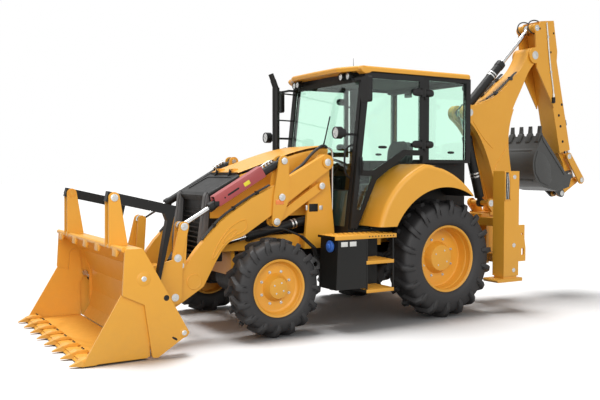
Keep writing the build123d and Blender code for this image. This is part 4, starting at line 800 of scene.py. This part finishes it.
def deck():
    """Walkway plates with punched grips, step treads and struts, tank caps and blank labels."""
    plates, painted_hole_shade, treads, struts = bmesh.new(), bmesh.new(), bmesh.new(), bmesh.new()
    for side in (1, -1):
        block(plates, (798, 1602), (side * 764, side * 1102), (1009, 1015), 2)
        block(plates, (798, 1602), (side * 1098, side * 1103), (972, 1014), 1.5)
        # The holes in the plate's edge are black discs: painted shade inside the holes.
        for index in range(9):
            turn(painted_hole_shade, [(0, 8), (1, 8), (1, 0)], spot(840 + 40 * index, side * 1102.4, 994), (0, side, 0),
                 14)
        for column in range(12):
            for row in range(5):
                place = spot(840 + 62 * column + 31 * (row % 2), side * (800 + 62 * row), 1014.5)
                turn(plates, [(0, 15), (4, 12), (4, 8), (1, 6)], place, (0, 0, 1), 14)
        for z in (421, 730):
            block(treads, (832, 1198), (side * 768, side * 1102), (z - 1, z + 5), 2)
            block(treads, (832, 1198), (side * 1098, side * 1103), (z - 34, z + 4), 1.5)
            for row in range(4):
                y = side * (800 + 80 * row)
                block(treads, (850, 1180), (y - 14, y + 14), (z + 4, z + 9), 2)
        for x in (832, 1180):
            block(struts, (x, x + 18), (side * 1080, side * 1101), (390, 986), 3)
    piece("step_struts", struts, black, "chassis")
    piece("walkway_plates", plates, yellow, "chassis")
    piece("walkway_hole_shade", painted_hole_shade, plastic, "chassis")
    piece("step_treads", treads, yellow, "chassis")
    caps, labels = bmesh.new(), bmesh.new()
    for side in (1, -1):
        turn(caps, [(-4, 62), (16, 62), (22, 56), (24, 30), (38, 27), (40, 22), (40, 0)],
             spot(1578, side * 980, 900), (1, 0, 0.03), 36)
        for x in (1330, 1440):
            block(labels, (x, x + 84), (side * 1099, side * 1101), (900, 950), 1)
    piece("tank_caps", caps, blue_plastic, "chassis")
    piece("tank_blank_labels", labels, blank_label, "chassis")


def fender_liners():
    """Black splash sheets under the rear fenders."""
    shape = bmesh.new()
    top = [(974, 1090), (900, 1290), (742, 1512), (560, 1672), (372, 1750), (190, 1744), (28, 1668),
           (-180, 1540), (-352, 1404)]
    for side in (1, -1):
        ends = sorted((side * 606, side * 1066))
        under = [(x * 0.985, z - 10) for x, z in reversed(top)]
        plate(shape, top + under, ends[0], ends[1], 2)
    piece("fender_liners", shape, plastic, "chassis")


# Cab

def front_x(z):
    """Front face of the cab's sloping front posts."""
    return 1198 - (z - 1059) * (1198 - 1010) / (2721 - 1059)


def cab_dress():
    """Headlining, lower front glass, lenses, mirrors, aerial, rails and the roof's front lip."""
    lining = bmesh.new()
    block(lining, (-585, 1000), (-738, 738), (2778, 2799), 8)
    block(lining, (940, 1000), (-690, 690), (2690, 2790), 18)
    block(lining, (-540, -420), (-690, 690), (2720, 2790), 18)
    piece("cab_headlining", lining, headlining, "chassis")
    # The lower front glass is an opaque dark plate: painted shade of the cab's inside seen through the
    # glass.
    glass = bmesh.new()
    plate(glass, [(front_x(1075) + 1, 1075), (front_x(1470) + 1, 1470), (front_x(1470) + 5, 1470),
                  (front_x(1075) + 5, 1075)], -680, 680, 1)
    piece("lower_front_glass", glass, glass_with_painted_inside_shade, "chassis")
    lenses, rings = bmesh.new(), bmesh.new()
    for side in (1, -1):
        for x, y, z, radius in ((1398, 800, 2108, 66), (1120, 480, 2752, 42), (1100, 590, 2752, 42)):
            place = spot(x, side * y, z)
            turn(lenses, [(-3, radius * 0.88), (2, radius * 0.86), (4, radius * 0.5), (5, 0)], place,
                 (1, 0, 0), 36)
            turn(rings, [(-12, radius), (2, radius), (7, radius * 0.97), (7, radius * 0.88),
                         (-2, radius * 0.86)],
                 place, (1, 0, 0), 36)
        block(lenses, (-724, -720), (side * 528, side * 612), (2698, 2762), 2)
    piece("lamp_lenses", lenses, lamp_lens, "chassis")
    piece("lamp_bezels", rings, plastic, "chassis")
    mirrors = bmesh.new()
    for side in (1, -1):
        block(mirrors, (1073, 1078), (side * 894, side * 1016), (2458, 2698), 2)
    piece("mirror_glasses", mirrors, mirror_glass, "chassis")
    rods = bmesh.new()
    turn(rods, [(0, 12), (18, 9), (22, 3), (150, 2), (150, 0)], spot(820, 300, 2857), (0, 0, 1), 12)
    for z in (2640, 2310):
        pipe(rods, [(1442, -470, z), (1330, -560, z + 6), (front_x(z) - 20, -700, z + 10)], 9)
    for side in (1, -1):
        pipe(rods, [(1165, side * 735, 1620), (1245, side * 760, 1640), (1260, side * 765, 1800),
                    (1245, side * 760, 1960), (1135, side * 735, 1980)], 11)
    pipe(rods, [(front_x(1500) + 8, -120, 1500), (front_x(1640) + 26, -60, 1640),
                (front_x(1900) + 16, 60, 1900), (front_x(2080) + 4, 110, 2080)], 7)
    pipe(rods, [(front_x(1780) + 6, 40, 1780), (front_x(2080) + 6, 112, 2080),
                (front_x(2330) + 6, 168, 2330)], 8)
    piece("cab_rails_and_wiper", rods, black, "chassis")
    lip = bmesh.new()
    for side in (1, -1):
        ends = sorted((side * 690, side * 806))
        plate(lip, [(1050, 2856), (1000, 2856), (900, 2802), (955, 2776), (1010, 2768), (1052, 2790),
                    (1074, 2820)],
              ends[0], ends[1], 12, 3)
    piece("roof_corner_lips", lip, yellow, "chassis")


def swell(share):
    """Pushes the corners of an oval outwards."""
    return math.copysign(abs(share) ** 0.7, share)


def pad(shape, centre, size, side):
    """A flattened oval cover: half a ball with its corners pushed out."""
    ball = bmesh.ops.create_uvsphere(shape, u_segments=24, v_segments=12, radius=1.0)["verts"]
    upper = [vert for vert in ball if vert.co.z > -SAME_POINT]
    lower = [vert for vert in ball if vert.co.z <= -SAME_POINT]
    bmesh.ops.delete(shape, geom=lower, context="VERTS")
    for vert in upper:
        x, y, lift = vert.co
        angle, reach = math.atan2(y, x), math.hypot(x, y)
        vert.co = spot(centre[0] + size[0] * reach * swell(math.cos(angle)),
                       centre[1] + side * size[1] * lift,
                       centre[2] + size[2] * reach * swell(math.sin(angle)))


def door_dress():
    """Hinge covers, handles and latch pads of the doors and side windows."""
    posts = bmesh.new()
    for hand, side in (("left", 1), ("right", -1)):
        door = bmesh.new()
        for z in (2600, 2000):
            pad(door, (256, side * 786, z), (78, 26, 44), side)
            pad(posts, (62, side * 750, z), (72, 50, 44), side)
        block(door, (1034, 1076), (side * 785, side * 800), (1640, 1850), 10)
        pipe(door, [(1055, side * 796, 1660), (1055, side * 822, 1690), (1055, side * 826, 1750),
                    (1055, side * 822, 1800), (1055, side * 796, 1830)], 9)
        pad(door, (752, side * 780, 1961), (60, 18, 16), side)
        piece("door_" + hand + "_fittings", door, plastic, "door_" + hand)
        pad(posts, (-307, side * 728, 1912), (52, 16, 16), side)
    piece("window_fittings", posts, plastic, "chassis")


def cushion(name, middle, size, lean, channels):
    """A crowned pad with pulled-in sides and sewn channels, made from a fine box."""
    shape = bmesh.new()
    bmesh.ops.create_cube(shape, size=2.0)
    bmesh.ops.subdivide_edges(shape, edges=shape.edges, cuts=23, use_grid_fill=True)
    for point in shape.verts:
        x, y, z = point.co
        crown = (1 - x ** 4) * (1 - y ** 4)
        waist = 1 - 0.05 * (1 - z * z) * 0.5
        corner = max(0.0, abs(x) + abs(y) - 1.55) * 0.35
        seam = sum(math.exp(-((y - line) / 0.035) ** 2) for line in channels)
        seam += math.exp(-((abs(z) - 0.55) / 0.06) ** 2) * 0.3
        high = z * (0.72 + 0.28 * crown) - 0.10 * seam * (1 if z > 0.5 else 0)
        point.co = Vector((x * waist * (1 - corner), y * waist * (1 - corner), high))
    turned = Matrix.Rotation(math.radians(lean), 4, "Y")
    scale = Matrix.Diagonal((size[0] / 2000, size[1] / 2000, size[2] / 2000, 1.0))
    bmesh.ops.transform(shape, matrix=Matrix.Translation(spot(*middle)) @ turned @ scale, verts=shape.verts)
    thing = piece(name, shape, seat_cloth, "chassis", crease=80)


def cab_inside():
    """Seat, pedestals, levers and steering wheel behind the glass."""
    shape = bmesh.new()
    block(shape, (20, 320), (-150, 150), (1040, 1380), 20)
    block(shape, (-40, 400), (-215, 215), (1380, 1436), 16)
    block(shape, (900, 1060), (-190, 190), (1040, 1610), 40, 3)
    block(shape, (-165, -150), (-190, 190), (1500, 2040), 6)
    for side in (1, -1):
        block(shape, (-40, 330), (side * 300, side * 430), (1040, 1590), 30, 3)
        pipe(shape, [(260, side * 365, 1580), (268, side * 365, 1680), (290, side * 360, 1800)], 10)
        turn(shape, [(0, 10), (8, 26), (34, 31), (60, 26), (72, 10), (74, 0)], spot(288, side * 360, 1790),
             (0.1, 0, 1), 18)
        pipe(shape, [(-330, side * 210, 1040), (-330, side * 210, 1500), (-300, side * 200, 1830)], 14)
        turn(shape, [(0, 12), (10, 24), (36, 29), (58, 24), (68, 8), (70, 0)], spot(-302, side * 200, 1822),
             (0.2, 0, 1), 18)
    pipe(shape, [(980, 0, 1600), (900, 0, 1680), (822, 0, 1758)], 30)
    rim = []
    for step in range(13):
        angle = 2 * math.pi * step / 12
        rim.append((16 * math.sin(angle), 185 + 16 * math.cos(angle)))
    turn(shape, rim, spot(820, 0, 1760), (-0.45, 0, 1), 40)
    for y in (-1, 1):
        pipe(shape, [(820, y * 20, 1762), (818, y * 100, 1756), (820, y * 178, 1760)], 11)
    turn(shape, [(-16, 44), (10, 44), (18, 36), (20, 0)], spot(820, 0, 1760), (-0.45, 0, 1), 24)
    block(shape, (840, 900), (-330, -190), (1700, 1880), 14)
    piece("cab_controls", shape, plastic, "chassis", ("cab_interior",))
    cushion("seat_cushion", (180, 0, 1486), (470, 440, 100), 0, (-0.45, 0.45))
    cushion("seat_back", (-95, 0, 1790), (540, 420, 110), 84, (-0.45, 0.45))


nose_dress()
tower_dress()
mudguards()
deck()
fender_liners()
cab_dress()
door_dress()
cab_inside()

# Backhoe

def backhoe_pins():
    """Plated pin ends on the backhoe, on both its sides."""
    rows = {
        "kingpost": [(-1540, 190, 1180, 50), (-1213, 190, 1273, 42)],
        "boom": [(-870, 158, 2432, 46)],
        "stick_inner": [(-2029, 156, 3238, 56), (-2057, 156, 3604, 40)],
        "stick_outer": [(-2493, 70, 3377, 36)],
        "bucket_rocker": [(-2729, 156, 1891, 38), (-2985, 162, 1560, 36)],
        "backhoe_bucket": [(-2808, 98, 1634, 40), (-2654, 98, 1377, 36)],
    }
    for body, caps in rows.items():
        shape = bmesh.new()
        for x, y, z, radius in caps:
            for side in (1, -1):
                pin_cap(shape, x, SHIFT + side * y, z, side, radius, 9)
        piece(body + "_pin_caps", shape, zinc, body)


def boom_dress():
    """Fold lines on the boom's sides and the clamped pressure lines on its back."""
    beads, pipes = bmesh.new(), bmesh.new()
    for side in (1, -1):
        y = SHIFT + side * 150
        pipe(beads, [(-930, y, 2320), (-1000, y, 2230), (-1076, y, 2148), (-1170, y, 2060),
                     (-1269, y, 1987)], 7)
        pipe(beads, [(-1531, y, 2060), (-1520, y, 2000), (-1470, y, 1920), (-1351, y, 1789),
                     (-1310, y, 1700), (-1300, y, 1610)], 7)
        pipe(beads, [(-1000, y, 2552), (-1159, y, 2588), (-1339, y, 2660), (-1560, y, 2835)], 7)
        for out, lift in ((114, 0), (136, 4)):
            y = SHIFT + side * out
            pipe(pipes, [(-1180, y, 2622 + lift), (-1340, y, 2706 + lift), (-1560, y, 2886 + lift),
                         (-1700, y, 2990 + lift)], 9)
        for x, z in ((-1340, 2700), (-1600, 2905)):
            block(pipes, (x - 26, x + 26), (SHIFT + side * 103, SHIFT + side * 147), (z - 22, z + 22), 4)
    piece("boom_fold_lines", beads, yellow, "boom", crease=60)
    piece("boom_pressure_lines", pipes, hose_rubber, "boom")


def bands(name, start, end, body, radius, places, gland):
    """Plated clamps and the gland nut on a cylinder."""
    line = Vector((end[0] - start[0], 0, end[1] - start[1]))
    span = line.length
    line.normalize()
    shape, nut = bmesh.new(), bmesh.new()
    for share in places:
        turn(shape, [(-10, radius - 2), (-10, radius + 5), (10, radius + 5), (10, radius - 2)],
             spot(start[0], SHIFT, start[1]) + line * span * share / 1000, line, 28)
    turn(nut, [(-80, radius), (-75, radius + 6), (-5, radius + 6), (2, radius), (2, radius * 0.6)],
         spot(start[0], SHIFT, start[1]) + line * span * gland / 1000, line, 28)
    piece(name + "_clamps", shape, zinc, body)
    piece(name + "_gland", nut, black, body)


def stick_dress():
    """The hard line down the stick with its coupling, and the bolts of the wear pads."""
    line, dark = bmesh.new(), bmesh.new()
    y = SHIFT + 166
    pipe(line, [(-2232, y, 3690), (-2262, y, 3480), (-2281, y, 3313), (-2324, y, 3041), (-2372, y, 2830),
                (-2384, y, 2730), (-2384, y, 2690)], 10)
    turn(line, [(0, 16), (46, 16), (50, 12), (50, 0)], spot(-2384, y, 2740), (0, 0, -1), 16)
    for x, z in ((-2258, 3500), (-2325, 3030)):
        block(line, (x - 15, x + 15), (y - 14, y + 12), (z - 14, z + 14), 3)
    piece("stick_hard_line", line, zinc, "stick_inner")
    turn(dark, [(0, 26), (70, 26), (76, 20), (76, 0)], spot(-2382, y, 2690), (0, 0, -1), 20)
    for side in (1, -1):
        for x, z in ((-2112, 3600), (-2380, 3560), (-2330, 3300)):
            turn(dark, [(-1, 15), (2, 14), (2, 9), (0, 8), (0, 0)], spot(x, SHIFT + side * 156, z),
                 (0, side, 0), 16)
    piece("stick_coupling", dark, plastic, "stick_inner")
    pads = bmesh.new()
    for side in (1, -1):
        for x, z in ((-2591, 2605), (-2535, 2454), (-2571, 2305), (-2619, 2095), (-2661, 1945)):
            turn(pads, [(-1, 20), (2, 19), (3, 12), (1, 11), (1, 0)], spot(x, SHIFT + side * 130, z),
                 (0, side, 0), 18)
    piece("stick_wear_pad_bolts", pads, plastic, "stick_outer")


def bucket_ribs():
    """Wear straps, side plates and tooth adapters of the digging bucket."""
    ribs = bmesh.new()
    for (x, z), (dx, dz) in (((-1915, 1955), (0.95, 0.3)), ((-1868, 1760), (1.0, -0.05)),
                             ((-1935, 1565), (0.8, -0.6))):
        along = (-dz, dx)
        points = [(x + along[0] * a + dx * b, z + along[1] * a + dz * b)
                  for a, b in ((-22, -8), (22, -8), (16, 13), (-16, 13))]
        plate(ribs, points, SHIFT - 230, SHIFT + 230, 4)
    for side in (1, -1):
        ends = sorted((SHIFT + side * 299, SHIFT + side * 308))
        plate(ribs, [(-1935, 1960), (-1885, 1800), (-1900, 1660), (-1990, 1545), (-2140, 1490),
                     (-2210, 1560), (-2180, 1760), (-2080, 1900)], ends[0], ends[1], 3)
        plate(ribs, [(-2040, 2150), (-2075, 2112), (-2490, 1655), (-2450, 1640), (-2050, 2075),
                     (-2010, 2130)],
              ends[0], ends[1], 3)
    for index in range(4):
        y = SHIFT - 240 + 160 * index
        plate(ribs, [(-2088, 2110), (-1975, 2060), (-1965, 2085), (-2008, 2190), (-2052, 2196)], y - 36,
              y + 36, 5)
    piece("digging_bucket_straps", ribs, dug_steel, "backhoe_bucket")


def leg_dress():
    """The opening in each leg sleeve, drawn as a black plate of painted shade, with its raised edge and
    pipes, and the sleeve's pins.
    """
    frame_edge, dark, pipes = bmesh.new(), bmesh.new(), bmesh.new()
    for side in (1, -1):
        ends = sorted((side * 1159, side * 1163))
        # The opening is a thin black plate on the sleeve: painted shade inside it.
        plate(dark, [(-782, 1352), (-776, 1560), (-790, 1676), (-800, 1676), (-830, 1676), (-846, 1560),
                     (-846, 1352)],
              ends[0], ends[1], 1.5)
        for x in (-798, -826):
            pipe(pipes, [(x, side * 1164, 1356), (x, side * 1170, 1440), (x - 4, side * 1169, 1560),
                         (x, side * 1164, 1660)], 4)
        for x, z, wide, high in ((-771, 1510, 8, 170), (-857, 1510, 8, 170), (-814, 1345, 50, 8)):
            ends = sorted((side * 1159, side * 1170))
            plate(frame_edge, [(x - wide, z - high), (x + wide, z - high), (x + wide, z + high),
                               (x - wide, z + high)],
                  ends[0], ends[1], 3)
        for x, z in ((-930, 1620), (-930, 800), (-930, 500)):
            pin_cap(pipes, x, side * 1160, z, side, 26, 9)
    piece("leg_sleeve_opening_shade", dark, plastic, "chassis")
    piece("leg_sleeve_pipes", pipes, zinc, "chassis")
    piece("leg_sleeve_edges", frame_edge, yellow, "chassis")


backhoe_pins()
boom_dress()
bands("boom_cylinder", (-1213, 1273), (-870, 2432), "boom_barrel", 60, (0.30, 0.335), 0.74)
bands("stick_cylinder", (-870, 2432), (-2057, 3604), "stick_barrel", 58, (0.42, 0.445), 0.58)
bands("bucket_cylinder", (-2493, 3377), (-2985, 1560), "bucket_barrel", 44, (0.25,), 0.58)
stick_dress()
bucket_ribs()
leg_dress()

# Hoses

hose("loader_hose", [(1240, 368, 1962), (1290, 420, 1980), (1400, 500, 1970), (1530, 510, 1880),
                     (1640, 512, 1760), (1760, 520, 1690), (1862, 546, 1600)], 34, "chassis")
for hand, y in (("left", 392), ("right", 208)):
    hose("stick_hose_" + hand, [(-2100, y, 3535), (-2010, y, 3540), (-1945, y, 3600), (-1970, y, 3685),
                                (-2060, y, 3720), (-2160, y, 3712), (-2215, y, 3675)],
         17, "stick_inner")

# Stage and light

def stage():
    """A white floor and sky that give little light of their own, so that shadows stay."""
    shape = bmesh.new()
    bmesh.ops.create_grid(shape, x_segments=1, y_segments=1, size=80)
    mesh = bpy.data.meshes.new("floor")
    shape.to_mesh(mesh)
    shape.free()
    floor = bpy.data.objects.new("floor", mesh)
    bpy.context.scene.collection.objects.link(floor)
    material, tree, output = blank("paper_floor")[:3]
    path = add(tree, "ShaderNodeLightPath")
    tone = add(tree, "ShaderNodeMapRange", {"Value": path.outputs["Is Diffuse Ray"], "To Min": 0.98,
                                            "To Max": 0.3})
    shader = add(tree, "ShaderNodeBsdfDiffuse", {"Color": tone.outputs["Result"]})
    tree.links.new(shader.outputs[0], output.inputs["Surface"])
    mesh.materials.append(material)
    world = bpy.data.worlds.new("studio")
    bpy.context.scene.world = world
    world.use_nodes = True
    tree = world.node_tree
    tree.nodes.clear()
    path = add(tree, "ShaderNodeLightPath")
    soft = add(tree, "ShaderNodeMapRange", {"Value": path.outputs["Is Diffuse Ray"], "To Min": 1.0,
                                            "To Max": 0.25})
    sky = add(tree, "ShaderNodeBackground", {"Color": (1.0, 1.0, 1.0, 1.0),
                                             "Strength": soft.outputs["Result"]})
    add(tree, "ShaderNodeOutputWorld", {"Surface": sky.outputs[0]})


def shine_on(name, light, lit=None):
    """A lamp in the scene; one with a list of objects lights only those, so the floor keeps its shadow."""
    thing = bpy.data.objects.new(name, light)
    bpy.context.scene.collection.objects.link(thing)
    if lit:
        thing.light_linking.receiver_collection = lit
    return thing


def sun(name, aim, strength, spread, lit=None):
    light = bpy.data.lights.new(name, "SUN")
    light.energy = strength
    light.angle = math.radians(spread)
    thing = shine_on(name, light, lit)
    thing.rotation_euler = Vector(aim).to_track_quat("-Z", "Y").to_euler()


def lamp(name, place, aim, size, power, lit):
    light = bpy.data.lights.new(name, "AREA")
    light.size = size
    light.energy = power
    thing = shine_on(name, light, lit)
    thing.location = place
    thing.rotation_euler = (Vector(aim) - Vector(place)).to_track_quat("-Z", "Y").to_euler()


machine = bpy.data.collections.new("machine")
for thing in bpy.context.scene.objects:
    if thing.type in ("MESH", "CURVE"):
        machine.objects.link(thing)
stage()
sun("key", (-0.05, 0.26, -1.0), 3.1, 30)
sun("fill", (-0.35, -1.0, -0.45), 1.1, 40, machine)
lamp("bucket_light", (4.6, 4.2, 2.2), (3.0, 1.2, 0.5), 2.5, 60, machine)
lamp("backhoe_light", (-1.2, 6.0, 4.2), (-2.2, 0.5, 2.4), 3.0, 70, machine)
bpy.context.scene.view_settings.view_transform = "Standard"
